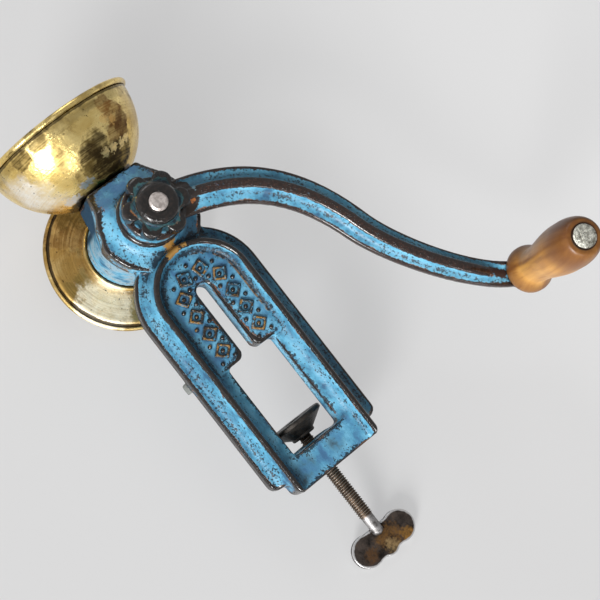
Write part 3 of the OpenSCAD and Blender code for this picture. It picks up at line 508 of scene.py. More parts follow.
# Faded paint on the barrel; painted shade on the right flange and below the crank's hub, painted shade and dirt on
# the cheek;
# violet on the panel and crown, stains on the jaw, ochre along the panel's right edge
def standTouches(tree, coord, color, lump):
    look = standCast
    x, y, z = split(tree, coord)
    arch = archField(tree, coord)
    faded = times(tree, band(tree, y, *look["fadedY"]), band(tree, lump, *look["fadedLump"]))
    color = blendColor(tree, times(tree, faded, look["fadedShare"]), color, look["faded"])
    # Painted shade: the right flange beyond the ridge, the nook below the crank's hub and the cheek of the neck
    # darken towards the shade colour
    flange = times(tree, band(tree, x, *look["flangeX"]), band(tree, lump, *look["flangeLump"]))
    nook = times(tree, near(tree, coord, look["nook"], *look["nookReach"]), look["nookShare"])
    shaded = most(tree, times(tree, flange, look["flangeShare"]), nook)
    cheek = times(tree, band(tree, x, *look["cheekX"]), band(tree, y, *look["cheekY"]))
    cheek = times(tree, cheek, band(tree, z, *look["cheekZ"]))
    color = blendColor(tree, most(tree, shaded, cheek), color, look["shade"])
    panel = times(tree, band(tree, arch, *look["panelArch"]), band(tree, y, *look["panelY"]))
    panel = times(tree, panel, blendValue(tree, band(tree, lump, *look["panelLump"]), *look["panelShare"]))
    color = blendColor(tree, panel, color, look["violet"])
    crown = times(tree, band(tree, z, *look["crownZ"]), band(tree, lump, *look["crownLump"]))
    crown = times(tree, crown, band(tree, y, *look["crownY"]))
    color = blendColor(tree, crown, color, look["crown"])
    for place, reach in look["stains"]:
        stain = times(tree, near(tree, coord, place, 0.0, reach), band(tree, lump, *look["stainLump"]))
        color = blendColor(tree, times(tree, stain, look["stainShare"]), color, look["stain"])
    off = calc(tree, "ABSOLUTE", minus(tree, arch, look["lineArch"]))
    line = times(tree, band(tree, off, *look["lineHalf"]), band(tree, x, *look["lineX"]))
    line = times(tree, line, band(tree, z, *look["lineZ"]))
    line = times(tree, line, band(tree, y, *look["lineY"]))
    return blendColor(tree, times(tree, line, band(tree, lump, *look["lineLump"])), color, look["ochre"])


standSpots = [(place, 0.0, outer, standCast["ochre"]) for place, outer in standCast["ochreSpots"]]
standSpots.append((standCast["lug"], *standCast["lugReach"], standCast["lugGrey"]))
standPaint = wornPaint("stand_paint", {**paintLook, "flow": standCast["flow"]}, standSpots, sparedEdges,
    standTouches, behindPlate, standGrit)
castStand = softMesh(nodeCopy("body_casting"), "cast_stand", standCast)
dressPiece(castStand, standPaint, "frame", "painted_iron", ["body_casting"])

# Raised border round the slot: open lozenges with pellets between them
border = dict(aside=0.0123, archRadius=0.0123, archHeight=0.0375, foot=0.0018, front=-0.0122, rise=0.0013,
    sunk=0.0005, count=10, long=0.0050, wide=0.0054, bar=0.0019, pellet=0.0013, pelletFlat=0.9, pelletOff=0.0042,
    voxel=0.00028, rounds=2, wear=((10, 0.00022), (30, 0.0005)), leftX=(0.008, -0.008), leftMore=0.10,
    ochreLump=(0.03, 0.08), topY=(-0.0129, -0.0132))


def borderPlace(run, look):
    straight = look["archHeight"] - look["foot"]
    bow = math.pi * look["archRadius"]
    total = 2 * straight + bow
    along = run * total
    if along < straight:
        return -look["aside"], look["foot"] + along, 90.0
    if along > straight + bow:
        return look["aside"], look["foot"] + total - along, 90.0
    turn = math.pi - (along - straight) / look["archRadius"]
    return (look["archRadius"] * math.cos(turn), look["archHeight"] + look["archRadius"] * math.sin(turn),
        math.degrees(turn) + 90.0)


def makeBorder(look):
    bm = bmesh.new()
    for i in range(look["count"]):
        x, z, turn = borderPlace((i + 0.5) / look["count"], look)
        place = Matrix.Translation((x, look["front"] + look["sunk"], z)) @ Matrix.Rotation(
            math.radians(-turn), 4, "Y")
        loops = []
        for inset in (0.0, look["bar"]):
            shape = Matrix.Diagonal((look["long"] - inset, 1, look["wide"] - inset, 1))
            made = bmesh.ops.create_circle(bm, segments=4, radius=1.0,
                matrix=place @ shape @ Matrix.Rotation(math.radians(90), 4, "X"))
            loops += {edge for vert in made["verts"] for edge in vert.link_edges}
        rim = bmesh.ops.bridge_loops(bm, edges=loops)["faces"]
        grown = bmesh.ops.extrude_face_region(bm, geom=rim, use_keep_orig=True)
        tops = [v for v in grown["geom"] if isinstance(v, bmesh.types.BMVert)]
        bmesh.ops.translate(bm, verts=tops, vec=(0, -look["rise"] - look["sunk"], 0))
    for i in range(2 * look["count"] + 1):
        x, z, turn = borderPlace(i / (2 * look["count"]), look)
        across = Matrix.Rotation(math.radians(-turn), 3, "Y") @ Vector((0, 0, look["pelletOff"]))
        for side in ((0,) if i % 2 else (-1, 1)):
            place = Matrix.Translation(Vector((x, look["front"], z)) + side * across)
            bmesh.ops.create_uvsphere(bm, u_segments=16, v_segments=10, radius=look["pellet"],
                matrix=place @ Matrix.Diagonal((1, look["pelletFlat"], 1, 1)))
    bmesh.ops.recalc_face_normals(bm, faces=bm.faces)
    return softMesh(bm, "panel_border", look)


# Ochre left on the tops, most of it on the left
def borderTouches(tree, coord, color, lump):
    axes = split(tree, coord)
    left = times(tree, band(tree, axes["X"], *border["leftX"]), border["leftMore"])
    kept = band(tree, plus(tree, lump, left), *border["ochreLump"])
    tops = times(tree, band(tree, axes["Y"], *border["topY"]), kept)
    return blendColor(tree, tops, color, standCast["ochre"])


borderPaint = wornPaint("border_paint", {**paintLook, "wearFrom": 0.62, "wearTo": 0.85, "patina": 0.50,
    "rust": standCast["ochre"]}, extra=borderTouches)
dressPiece(makeBorder(border), borderPaint, "frame", "painted_iron")

# Crank arm
crankCast = dict(voxel=0.00055, rounds=3, wear=((12, 0.00035), (90, 0.0011)), ribIron=(0.040, 0.019, 0.014),
    ribSpot=(0.001, 0.0044),
    ribEnd=[(0.1284, -0.0262, -0.0468), (0.1304, -0.0258, -0.0490), (0.1328, -0.0250, -0.0515)])
crankLook = {**paintLook, "wearFrom": 0.34, "wearTo": 0.48, "iron": (0.014, 0.007, 0.005),
    "bareIron": (0.052, 0.024, 0.017)}
crankSpots = [((0.0110, -0.0260, 0.0830), 0.010, 0.018, paintLook["bareIron"]),
    ((0.0196, -0.0290, 0.0767), 0.0005, 0.004, (0.40, 0.13, 0.03)),
    ((0.0239, -0.0290, 0.0821), 0.0002, 0.003, (0.22, 0.42, 0.52)),
    ((0.0537, -0.0290, 0.0550), 0.0002, 0.003, (0.55, 0.52, 0.40))]
crankSpots += [(place, *crankCast["ribSpot"], crankCast["ribIron"]) for place in crankCast["ribEnd"]]
crankLever = softMesh(nodeCopy("crank_arm"), "crank_lever", crankCast)
dressPiece(crankLever, wornPaint("crank_paint", crankLook, crankSpots), "crank", "painted_crank", ["crank_arm"])

# Star nut
starCast = dict(voxel=0.00042, rounds=8, wear=((12, 0.0003), (60, 0.0008)))
starLook = {**paintLook, "light": (0.045, 0.13, 0.13), "middle": (0.022, 0.065, 0.07),
    "deep": (0.010, 0.022, 0.024), "iron": (0.004, 0.003, 0.0024), "bareIron": (0.022, 0.014, 0.011),
    "wearFrom": -0.04, "wearTo": 0.10, "patina": 0.58, "bump": 0.4}
starWheel = softMesh(nodeCopy("star_nut"), "star_wheel", starCast)
dressPiece(starWheel, wornPaint("star_iron", starLook), "adjuster", "worn_iron", ["star_nut"])

# Hopper bowl, spun with a rolled rim
bowlLow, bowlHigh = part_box("hopper_bowl")
bowl = dict(bead=0.0017, beadOut=0.0003, beadTurn=(-110, 190), beadSteps=18, wall=0.0012, wallTop=-1.6, hole=0.01345,
    steps=180, arcSteps=44, dent=0.00022, dentBelow=0.006, dentScale=55)


def makeBowl(look):
    middle = (bowlLow + bowlHigh) / 2
    rimZ = bowlHigh.z - look["bead"]
    outer = (bowlHigh.x - bowlLow.x) / 2 - look["bead"] - look["beadOut"]
    inner = outer - look["wall"]
    lowTurn = math.degrees(math.asin((bowlLow.z - rimZ) / outer))
    lowIn = math.degrees(math.asin((bowlLow.z + look["wall"] - rimZ) / inner))
    wallOut = arcPoints((0, rimZ), outer, lowTurn, look["wallTop"], look["arcSteps"])
    bead = arcPoints((outer + look["beadOut"], rimZ), look["bead"], *look["beadTurn"], look["beadSteps"])
    wallIn = arcPoints((0, rimZ), inner, look["wallTop"], lowIn, look["arcSteps"])
    outline = [(look["hole"], bowlLow.z), *wallOut, *bead, *wallIn, (look["hole"], bowlLow.z + look["wall"])]
    bm = turned(outline, (middle.x, middle.y, 0), (0, 0, 1), look["steps"], loop=True)
    for v in bm.verts:
        if v.co.z < rimZ - look["dentBelow"]:
            away = (v.co - Vector((middle.x, middle.y, rimZ))).normalized()
            v.co -= away * look["dent"] * (0.5 + noise.noise(v.co * look["dentScale"]) * 0.5)
    return bm


# Place, inner and outer reach, amount, softness and tint
bowlPatches = [((0.0186, -0.0140, 0.1471), 0.002, 0.010, 0.80, 0.16, "brown"),
    ((0.0207, -0.0112, 0.1414), 0.003, 0.012, 0.85, 0.16, "brown"),
    ((0.0227, -0.0073, 0.1361), 0.002, 0.010, 0.85, 0.16, "deepBrown"),
    ((0.0210, -0.0063, 0.1330), 0.002, 0.009, 0.90, 0.16, "deepBrown"),
    ((0.0155, -0.0085, 0.1318), 0.002, 0.010, 0.92, 0.16, "deepBrown"),
    # Painted dark reflection and painted shade: the dark olive zone at the lower right and along the neck
    ((0.0030, -0.0140, 0.1356), 0.002, 0.010, 0.85, 0.20, "olive"),
    ((0.0030, -0.0117, 0.1317), 0.003, 0.011, 0.92, 0.20, "deepOlive"),
    ((-0.0029, -0.0124, 0.1328), 0.002, 0.010, 0.90, 0.20, "olive"),
    ((-0.0028, -0.0098, 0.1289), 0.004, 0.012, 0.97, 0.20, "deepOlive"),
    ((0.0059, -0.0045, 0.1236), 0.004, 0.014, 0.92, 0.20, "deepOlive"),
    ((0.0120, -0.0007, 0.1221), 0.006, 0.015, 1.00, 0.20, "deepOlive"),
    ((-0.0120, 0.0050, 0.1190), 0.002, 0.010, 0.80, 0.20, "olive"),
    ((-0.0100, -0.0031, 0.1233), 0.002, 0.009, 0.85, 0.22, "olive"),
    ((-0.0047, -0.0048, 0.1237), 0.002, 0.009, 0.85, 0.22, "olive"),
    ((0.0030, -0.0020, 0.1215), 0.004, 0.013, 1.00, 0.22, "deepOlive"),
    # Painted shade under the rim
    ((0.0100, -0.0180, 0.1535), 0.002, 0.011, 0.55, 0.22, "olive"),
    ((-0.0088, -0.0180, 0.1520), 0.001, 0.010, 0.50, 0.22, "olive"),
    ((-0.0225, -0.0130, 0.1515), 0.003, 0.009, 0.90, 0.22, "olive"),
    ((-0.0334, -0.0035, 0.1502), 0.003, 0.010, 1.00, 0.22, "olive"),
    # Painted dark reflection between the two highlights of the lamps
    ((-0.0172, -0.0123, 0.1405), 0.001, 0.0054, 0.65, 0.40, "olive"),
    ((-0.0182, -0.0100, 0.1366), 0.001, 0.0054, 0.65, 0.40, "olive"),
    ((-0.0190, -0.0070, 0.1325), 0.001, 0.0054, 0.65, 0.40, "olive"),
    ((0.0340, 0.0020, 0.1400), 0.004, 0.018, 0.30, 0.25, "brown"),
    # Paler metal on the lower left, towards the lamps and the table: painted light
    ((-0.0335, 0.0146, 0.1287), 0.002, 0.022, 0.80, 0.50, "silver"),
    ((-0.0383, 0.0140, 0.1364), 0.002, 0.018, 0.75, 0.50, "silver"),
    ((0.0185, -0.0115, 0.1385), 0.000, 0.0046, 0.60, 0.12, "orange"),
    ((0.0133, -0.0144, 0.1413), 0.000, 0.0050, 0.60, 0.12, "orange"),
    ((0.0052, -0.0078, 0.1269), 0.000, 0.0052, 0.90, 0.08, "flake"),
    ((0.0108, -0.0064, 0.1268), 0.000, 0.0054, 0.90, 0.08, "flake"),
    ((0.0168, -0.0038, 0.1269), 0.000, 0.0052, 0.90, 0.08, "flake"),
    ((0.0204, -0.0022, 0.1276), 0.000, 0.0046, 0.85, 0.08, "flake"),
    ((-0.0208, 0.0140, 0.1184), 0.001, 0.0065, 0.90, 0.12, "solder"),
    ((-0.0178, 0.0105, 0.1180), 0.001, 0.0065, 0.90, 0.12, "solder"),
    ((-0.0125, 0.0020, 0.1205), 0.000, 0.0052, 0.85, 0.12, "solder"),
    ((-0.0095, 0.0004, 0.1205), 0.000, 0.0052, 0.85, 0.12, "solder")]
# A dark line under the rolled bead, a wider band of painted shade below the rim, and painted shade where the bowl
# meets the neck
bowlGrooves = [("height", bowlHigh.z - 0.0044, 0.0009, 0.75), ("height", bowlHigh.z - 0.0075, 0.0034, 0.28),
    ("height", bowlLow.z + 0.0006, 0.0026, 0.95)]
bowlBrass = spunBrass("bowl_brass", brassLook, tuple((bowlLow + bowlHigh) / 2), "Z", bowlPatches, bowlGrooves)
finishPiece("hopper_shell", makeBowl(bowl), bowlBrass, "frame", "spun_brass", ["hopper_bowl"])

# Outlet dish on the nose
dishLow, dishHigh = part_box("outlet_dish")
shaftLow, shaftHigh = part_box("drive_shaft")
dish = dict(bead=0.0017, beadOut=0.0004, wall=0.0012, sleeve=0.02183, sleeveBead=0.0015, beadShift=0.0006,
    fillet=(0.0008, 0.0006), flatFrom=0.004, cone=0.0015, corner=0.003, depth=0.0045, rimOut=0.0018, rimIn=0.0010,
    steps=180)


def makeDish(look):
    axisZ = (shaftLow.z + shaftHigh.z) / 2
    rim = dishHigh.y - look["bead"]
    floor = rim - look["depth"] - look["cone"]
    edge = (dishHigh.x - dishLow.x) / 2 - look["bead"]
    wall = edge - look["beadOut"]
    back = dishLow.y
    sleeveOut = look["sleeve"] + look["wall"]
    corner = (wall - look["corner"], floor + look["cone"] + look["corner"])
    ringCentre = (sleeveOut + look["beadShift"], back + look["sleeveBead"])
    filletOut, filletBack = look["fillet"]
    flat = look["sleeve"] + look["flatFrom"]
    outline = [(look["sleeve"], back), *arcPoints(ringCentre, look["sleeveBead"], -120, 120, 14),
        (sleeveOut, floor - filletBack), (sleeveOut + filletOut, floor), (flat, floor),
        *arcPoints(corner, look["corner"], -90, 0, 8), (wall, rim - look["rimOut"]),
        *arcPoints((edge, rim), look["bead"], -80, 170, 18), (wall - look["wall"], rim - look["rimIn"]),
        *arcPoints(corner, look["corner"] - look["wall"], 0, -90, 8),
        (flat, floor + look["wall"]), (look["sleeve"], floor + look["wall"])]
    return turned(outline, (0, 0, axisZ), (0, 1, 0), look["steps"], loop=True)


dishCentre = (0.0, dishLow.y, (dishLow.z + dishHigh.z) / 2)
dishLook = {**brassLook, "bright": (0.70, 0.54, 0.25), "warm": (0.38, 0.24, 0.07), "shine": 0.42}
dishPatches = [((-0.0219, 0.0580, 0.1133), 0.004, 0.020, 0.85, 0.22, "deepBrown"),
    ((-0.0340, 0.0580, 0.1000), 0.003, 0.018, 0.65, 0.22, "tan"),
    ((-0.0050, 0.0580, 0.1220), 0.006, 0.026, 0.80, 0.22, "olive"),
    # A pale patch on the lower left, where the lamps fall: painted light
    ((-0.0300, 0.0580, 0.0670), 0.006, 0.026, 0.85, 0.22, "straw")]
# The dark ring by the rolled rim is painted shade
dishBrass = spunBrass("dish_brass", dishLook, dishCentre, "Y", dishPatches, [("radius", 0.0430, 0.0009, 0.9)])
finishPiece("dish_shell", makeDish(dish), dishBrass, "frame", "spun_brass", ["outlet_dish"])

# Turned wooden grip and its rivet: the runs are shares of the grip's length
gripLow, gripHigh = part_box("handle_grip")
grip = dict(base=0.0130, baseEdge=((0.0010, 0.0), (0.0003, 0.0003)), waist=0.0096, swell=0.0132, end=0.0086,
    bore=0.00355, start=0.012, shapeLong=0.758, neckFrom=0.035, neckLong=0.125, waistAt=0.16, swellLong=0.52,
    domeFrom=0.77, domeLong=0.23, steps=96, points=60)


def makeGrip(look):
    middle = (gripLow + gripHigh) / 2
    length = gripHigh.y - gripLow.y

    def radiusAt(u):
        if u < look["waistAt"]:
            fall = ease((u - look["neckFrom"]) / look["neckLong"])
            return look["base"] + (look["waist"] - look["base"]) * fall
        return look["waist"] + (look["swell"] - look["waist"]) * ease((u - look["waistAt"]) / look["swellLong"])

    runs = [look["start"] + look["shapeLong"] * i / look["points"] for i in range(look["points"] + 1)]
    shape = [(radiusAt(u), -u * length) for u in runs]
    tip = look["swell"] - look["end"]
    dome = [(look["end"] + tip * math.cos(t), -length * (look["domeFrom"] + look["domeLong"] * math.sin(t)))
        for t in [math.radians(a) for a in range(6, 91, 6)]]
    foot = [(look["base"] - inward, -along) for inward, along in look["baseEdge"]]
    outline = [(look["bore"], 0), *foot, *shape, *dome, (look["bore"], -length)]
    return turned(outline, (middle.x, gripHigh.y, middle.z), (0, 1, 0), look["steps"], loop=True)


wood = dict(fibre=(420, 22, 420), year=(95, 9, 95), cloud=60, yearStops=(0.32, 0.5, 0.66),
    yearTints=((0.22, 0.085, 0.017), (0.42, 0.19, 0.038), (0.60, 0.31, 0.075)),
    fibreBand=(0.5, 0.7), fibreShare=0.4, fibreTint=(0.16, 0.06, 0.016),
    cloudBand=(0.55, 0.75), cloudShare=0.35, cloudTint=(0.66, 0.37, 0.11),
    baseRun=(0.93, 1.0), tipRun=(0.30, 0.02), endShare=(0.55, 0.95), endTint=(0.11, 0.034, 0.009),
    ringRadius=(0.0075, 0.0069), lip=(0.0016, 0.0006), lipShare=0.8, ringTint=(0.03, 0.012, 0.005),
    gloss=(0.28, 0.5), mirror=0.35, coat=0.12, coatGloss=0.25, cloudHeight=0.8, depth=0.0002, bump=0.6)


def turnedWood(name, look):
    material, tree, shader, coord = startMaterial(name)
    middle = tuple((gripLow + gripHigh) / 2)
    along = split(tree, coord)["Y"]
    run = band(tree, along, gripLow.y, gripHigh.y)
    local = vectors(tree, "SUBTRACT", coord, middle)[0]
    fibre = grain(tree, stretched(tree, local, look["fibre"]), 1.0, 5, 0.6)
    year = grain(tree, stretched(tree, local, look["year"]), 1.0, 3, 0.5, 0.9)
    cloud = grain(tree, local, look["cloud"], 4)
    color = ramp(tree, year, look["yearStops"], look["yearTints"])
    for field, key in ((fibre, "fibre"), (cloud, "cloud")):
        share = times(tree, band(tree, field, *look[key + "Band"]), look[key + "Share"])
        color = blendColor(tree, share, color, look[key + "Tint"])
    ends = plus(tree, band(tree, run, *look["baseRun"]), band(tree, run, *look["tipRun"]))
    ends = calc(tree, "MULTIPLY", ends, blendValue(tree, cloud, *look["endShare"]), True)
    color = blendColor(tree, ends, color, look["endTint"])
    ringed = band(tree, fromLine(tree, coord, middle, "Y"), *look["ringRadius"])
    lip = band(tree, along, *[gripHigh.y - back for back in look["lip"]])
    ringed = most(tree, ringed, times(tree, lip, look["lipShare"]))
    color = blendColor(tree, ringed, color, look["ringTint"])
    tree.links.new(color, shader.inputs["Base Color"])
    tree.links.new(blendValue(tree, fibre, *look["gloss"]), shader.inputs["Roughness"])
    shader.inputs["Specular IOR Level"].default_value = look["mirror"]
    shader.inputs["Coat Weight"].default_value = look["coat"]
    shader.inputs["Coat Roughness"].default_value = look["coatGloss"]
    height = plus(tree, fibre, times(tree, cloud, look["cloudHeight"]))
    relief(tree, shader, height, look["depth"], look["bump"])
    return material


gripWood = turnedWood("grip_wood", wood)
finishPiece("wood_grip", makeGrip(grip), gripWood, "handle", "turned_wood", ["handle_grip"])

rivetLow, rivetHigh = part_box("handle_spindle")
rivet = dict(stem=0.0035, headHeight=0.0020, crownShare=0.55, backEdge=(0.0012, 0.0010), underEdge=0.0002, steps=64)


def makeRivet(look):
    middle = (rivetLow + rivetHigh) / 2
    head = (rivetHigh.x - rivetLow.x) / 2
    top, low = -rivetLow.y, -rivetHigh.y
    tall = look["headHeight"]
    crownTall = tall * look["crownShare"]
    crown = [(head * math.cos(t), top - crownTall + crownTall * math.sin(t))
        for t in [math.radians(a) for a in range(0, 90, 9)]]
    inward, upward = look["backEdge"]
    outline = [(0, low), (head - inward, low), (head, low + upward), (head, low + tall), (look["stem"], low + tall),
        (look["stem"], top - tall), (head - look["underEdge"], top - tall), *crown, (0, top)]
    return turned(outline, (middle.x, 0, middle.z), (0, -1, 0), look["steps"])


rivetSteel = plainMetal("rivet_steel", (0.20, 0.19, 0.15), (0.82, 0.81, 0.72), 0.3, 0.85, 460, 0.0012, 0.60)
finishPiece("grip_rivet", makeRivet(rivet), rivetSteel, "crank", "steel", ["handle_spindle"])

# Clamp screw with a cut thread and a button that holds the pad
screwLow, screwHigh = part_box("clamp_screw")
padLow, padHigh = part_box("clamp_pad")
wingLow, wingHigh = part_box("clamp_wing")
screw = dict(radius=0.0040, pitch=0.0014, root=0.00335, shank=0.0120, shankRadius=0.0033, pin=0.0030, chamfer=0.0004,
    padGap=0.0001, button=0.0046, buttonTall=0.0018, buttonEdge=0.0008, buttonTop=0.0036, runOut=0.0006,
    toothSunk=0.0003, toothShy=0.00005, crest=(0.00046, 0.00066), toothFoot=0.00112, turnSteps=28, steps=48,
    rubFrom=0.0036, rubRate=2200, rubCloud=1.2, crestBand=(0.25, 0.85), crestShare=0.8, crestTint=(0.34, 0.29, 0.24),
    brownStops=(0.36, 0.6), brownTints=((0.03, 0.02, 0.014), (0.11, 0.075, 0.05)),
    plainZ=(0.0130, 0.0110), plainShare=0.9, plainStops=(0.40, 0.58),
    plainTints=((0.10, 0.095, 0.09), (0.42, 0.41, 0.41)), gloss=(0.5, 0.38), metallic=0.85)


def makeScrew(look):
    middle = (padLow + padHigh) / 2
    top = padLow.z - look["padGap"]
    end = screwLow.z
    tip = screwHigh.z
    threadLow = end + look["shank"]
    shank, root, cut = look["shankRadius"], look["root"], look["chamfer"]
    ball = arcPoints((0, end + shank), shank, -90, 0, 10)
    outline = [(0, end), *ball[1:], (shank, threadLow - cut), (root, threadLow), (root, top - cut),
        (look["pin"], top), (look["pin"], tip - look["buttonTall"]), (look["button"], tip - look["buttonTall"]),
        (look["button"], tip - look["buttonEdge"]), (look["buttonTop"], tip), (0, tip)]
    bm = turned(outline, (middle.x, middle.y, 0), (0, 0, 1), look["steps"])
    turns = (top - look["runOut"] - threadLow) / look["pitch"] - 1.0
    foot, crest = root - look["toothSunk"], look["radius"] - look["toothShy"]
    tooth = [(foot, 0.0), *[(crest, up) for up in look["crest"]], (foot, look["toothFoot"])]
    verts = [bm.verts.new((middle.x + r, middle.y, threadLow + h)) for r, h in tooth]
    face = bm.faces.new(verts)
    steps = int(turns * look["turnSteps"])
    bmesh.ops.spin(bm, geom=[face], cent=(middle.x, middle.y, 0), axis=(0, 0, 1), angle=2 * math.pi * turns,
        steps=steps, dvec=(0, 0, look["pitch"] / look["turnSteps"]))
    bmesh.ops.recalc_face_normals(bm, faces=bm.faces)
    return bm


# Browned, with rubbed crests and a bright plain end
def screwMetal(name, look):
    material, tree, shader, coord = startMaterial(name)
    radius = fromLine(tree, coord, tuple((padLow + padHigh) / 2), "Z")
    cloud = grain(tree, coord, 260, 5, 0.62)
    rubbed = plus(tree, times(tree, minus(tree, radius, look["rubFrom"]), look["rubRate"]),
        times(tree, centred(tree, cloud), look["rubCloud"]))
    crest = band(tree, rubbed, *look["crestBand"])
    plain = band(tree, split(tree, coord)["Z"], *[screwLow.z + up for up in look["plainZ"]])
    color = ramp(tree, cloud, look["brownStops"], look["brownTints"])
    color = blendColor(tree, times(tree, crest, look["crestShare"]), color, look["crestTint"])
    bright = ramp(tree, cloud, look["plainStops"], look["plainTints"])
    color = blendColor(tree, times(tree, plain, look["plainShare"]), color, bright)
    tree.links.new(color, shader.inputs["Base Color"])
    shader.inputs["Metallic"].default_value = look["metallic"]
    tree.links.new(blendValue(tree, crest, *look["gloss"]), shader.inputs["Roughness"])
    relief(tree, shader, cloud, 0.0003, 0.6)
    return material


screwIron = screwMetal("screw_iron", screw)
finishPiece("cut_screw", makeScrew(screw), screwIron, "screw", "screw_steel", ["clamp_screw"])

# Wing of the screw, with its braze: each spot is X, Z above the screw's end, reach and tint
wingCast = dict(voxel=0.00036, rounds=3, wear=((12, 0.00025), (40, 0.0006)), bedBack=0.0004, bedUnder=0.0010,
    bedTop=0.0048, bedWide=0.0092, ironStops=(0.38, 0.64), ironTints=((0.010, 0.008, 0.007), (0.085, 0.066, 0.056)),
    braze=[(0.0030, -0.0040, 0.013, (0.19, 0.095, 0.028)), (0.0125, -0.0090, 0.007, (0.34, 0.17, 0.035)),
        (0.0015, -0.0080, 0.007, (0.36, 0.25, 0.12)), (-0.0110, -0.0060, 0.007, (0.11, 0.055, 0.022))],
    brazeFull=0.3, brazePull=0.30, brazeBand=(0.60, 0.90), brazeShare=0.9, rubCloud=0.8, rubBand=(0.35, 0.6),
    rubTint=(0.62, 0.61, 0.61), metallic=0.8, gloss=(0.5, 0.3), height=(1.0, 0.4), depth=0.0007, bump=0.7)


def brazedIron(name, look):
    material, tree, shader, coord = startMaterial(name)
    cloud = grain(tree, coord, 150, 5, 0.62)
    fine = grain(tree, coord, 700, 4)
    color = ramp(tree, cloud, look["ironStops"], look["ironTints"])
    brazed = weighted(tree, cloud, fine, (0.5, 0.5))
    for x, up, reach, tint in look["braze"]:
        spot = near(tree, coord, (x, wingLow.y, screwLow.z + up), reach * look["brazeFull"], reach)
        spot = band(tree, plus(tree, times(tree, spot, look["brazePull"]), brazed), *look["brazeBand"])
        color = blendColor(tree, times(tree, spot, look["brazeShare"]), color, tint)
    rubbed = plus(tree, surfaceMark(tree, "wear"), times(tree, centred(tree, cloud), look["rubCloud"]))
    bright = band(tree, rubbed, *look["rubBand"])
    color = blendColor(tree, bright, color, look["rubTint"])
    tree.links.new(color, shader.inputs["Base Color"])
    shader.inputs["Metallic"].default_value = look["metallic"]
    tree.links.new(blendValue(tree, bright, *look["gloss"]), shader.inputs["Roughness"])
    relief(tree, shader, weighted(tree, cloud, fine, look["height"]), look["depth"], look["bump"])
    return material


# The node with a bed of braze in the screw's groove
def makeWing(look):
    bm = nodeCopy("clamp_wing")
    front, back = wingLow.y + look["bedBack"], wingHigh.y - look["bedBack"]
    low, high = screwLow.z - look["bedUnder"], screwLow.z + look["bedTop"]
    place = Matrix.Translation(((wingLow.x + wingHigh.x) / 2, (front + back) / 2, (low + high) / 2))
    bmesh.ops.create_cube(bm, size=1.0,
        matrix=place @ Matrix.Diagonal((look["bedWide"], back - front, high - low, 1)))
    return softMesh(bm, "brazed_wing", look)


dressPiece(makeWing(wingCast), brazedIron("wing_iron", wingCast), "screw", "worn_iron", ["clamp_wing"])

# Swivel pad
pad = dict(collar=0.0070, collarEdge=0.0005, collarTall=0.0016, rim=0.0026, rimEdge=0.0004, faceEdge=0.0007,
    pin=0.00305, recess=0.0049, recessDepth=0.0024, steps=96)


def makePad(look):
    middle = (padLow + padHigh) / 2
    radius = (padHigh.x - padLow.x) / 2
    low, top = padLow.z, padHigh.z
    collar, cut, edge, face = (look[k] for k in ("collar", "collarEdge", "rimEdge", "faceEdge"))
    outline = [(look["pin"], low), (collar - cut, low), (collar, low + cut), (collar, low + look["collarTall"]),
        (radius - edge, top - look["rim"]), (radius, top - look["rim"] + edge), (radius, top - face),
        (radius - face, top), (look["recess"], top), (look["recess"], top - look["recessDepth"]),
        (look["pin"], top - look["recessDepth"])]
    return turned(outline, (middle.x, middle.y, 0), (0, 0, 1), look["steps"], loop=True)


padIron = plainMetal("pad_black_iron", (0.012, 0.010, 0.009), (0.045, 0.037, 0.03), 0.45, 0.5, 220, 0.0006)
finishPiece("swivel_pad", makePad(pad), padIron, "pad", "pad_iron", ["clamp_pad"], smooth=False)

# Nodes that keep their solids
steel = plainMetal("turned_steel", (0.30, 0.28, 0.26), (0.62, 0.58, 0.54), 0.34, 0.9, 350, 0.0002)
burrIron = plainMetal("burr_grey_iron", (0.10, 0.10, 0.10), (0.24, 0.24, 0.235), 0.42, 0.85, 260, 0.0002)
washerBrass = plainMetal("washer_dull_brass", (0.17, 0.10, 0.035), (0.44, 0.30, 0.11), 0.4, 0.9, 240, 0.0002)
shaftSteel = plainMetal("shaft_pale_steel", (0.48, 0.42, 0.39), (0.80, 0.73, 0.69), 0.36, 0.85, 520, 0.0004, 0.64)
keptNodes = dict(hopper_ferrule=washerBrass, burr_ring=burrIron, ring_set_screw=steel, grinding_cone=burrIron,
    cone_washer=steel, cone_nut=steel, feed_auger=burrIron, auger_pin=steel, drive_shaft=shaftSteel,
    thrust_washer=washerBrass)
for nodeName, material in keptNodes.items():
    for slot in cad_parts[nodeName].material_slots:
        slot.material = material
print("kept nodes dressed:", len(keptNodes))

# Pale table that the object lies on, resting on the dish and the wing
table = dict(high=(0.0, 0.0678, 0.0405), low=(0.0, 0.0126, -0.130), radius=0.9, fadeFrom=0.42, fadeTo=0.7,
    albedo=(0.66, 0.655, 0.65), roughness=0.9, mirror=0.1, shown=(0.765, 0.765, 0.77),
    shownRight=(0.90, 0.90, 0.905), rightX=(0.05, 0.26), even=0.60)


# 1 for rays that show the background: straight, mirrored and through glass
def seenRays(tree):
    path = addNode(tree, "ShaderNodeLightPath").outputs
    return most(tree, most(tree, path["Is Camera Ray"], path["Is Glossy Ray"]), path["Is Transmission Ray"])


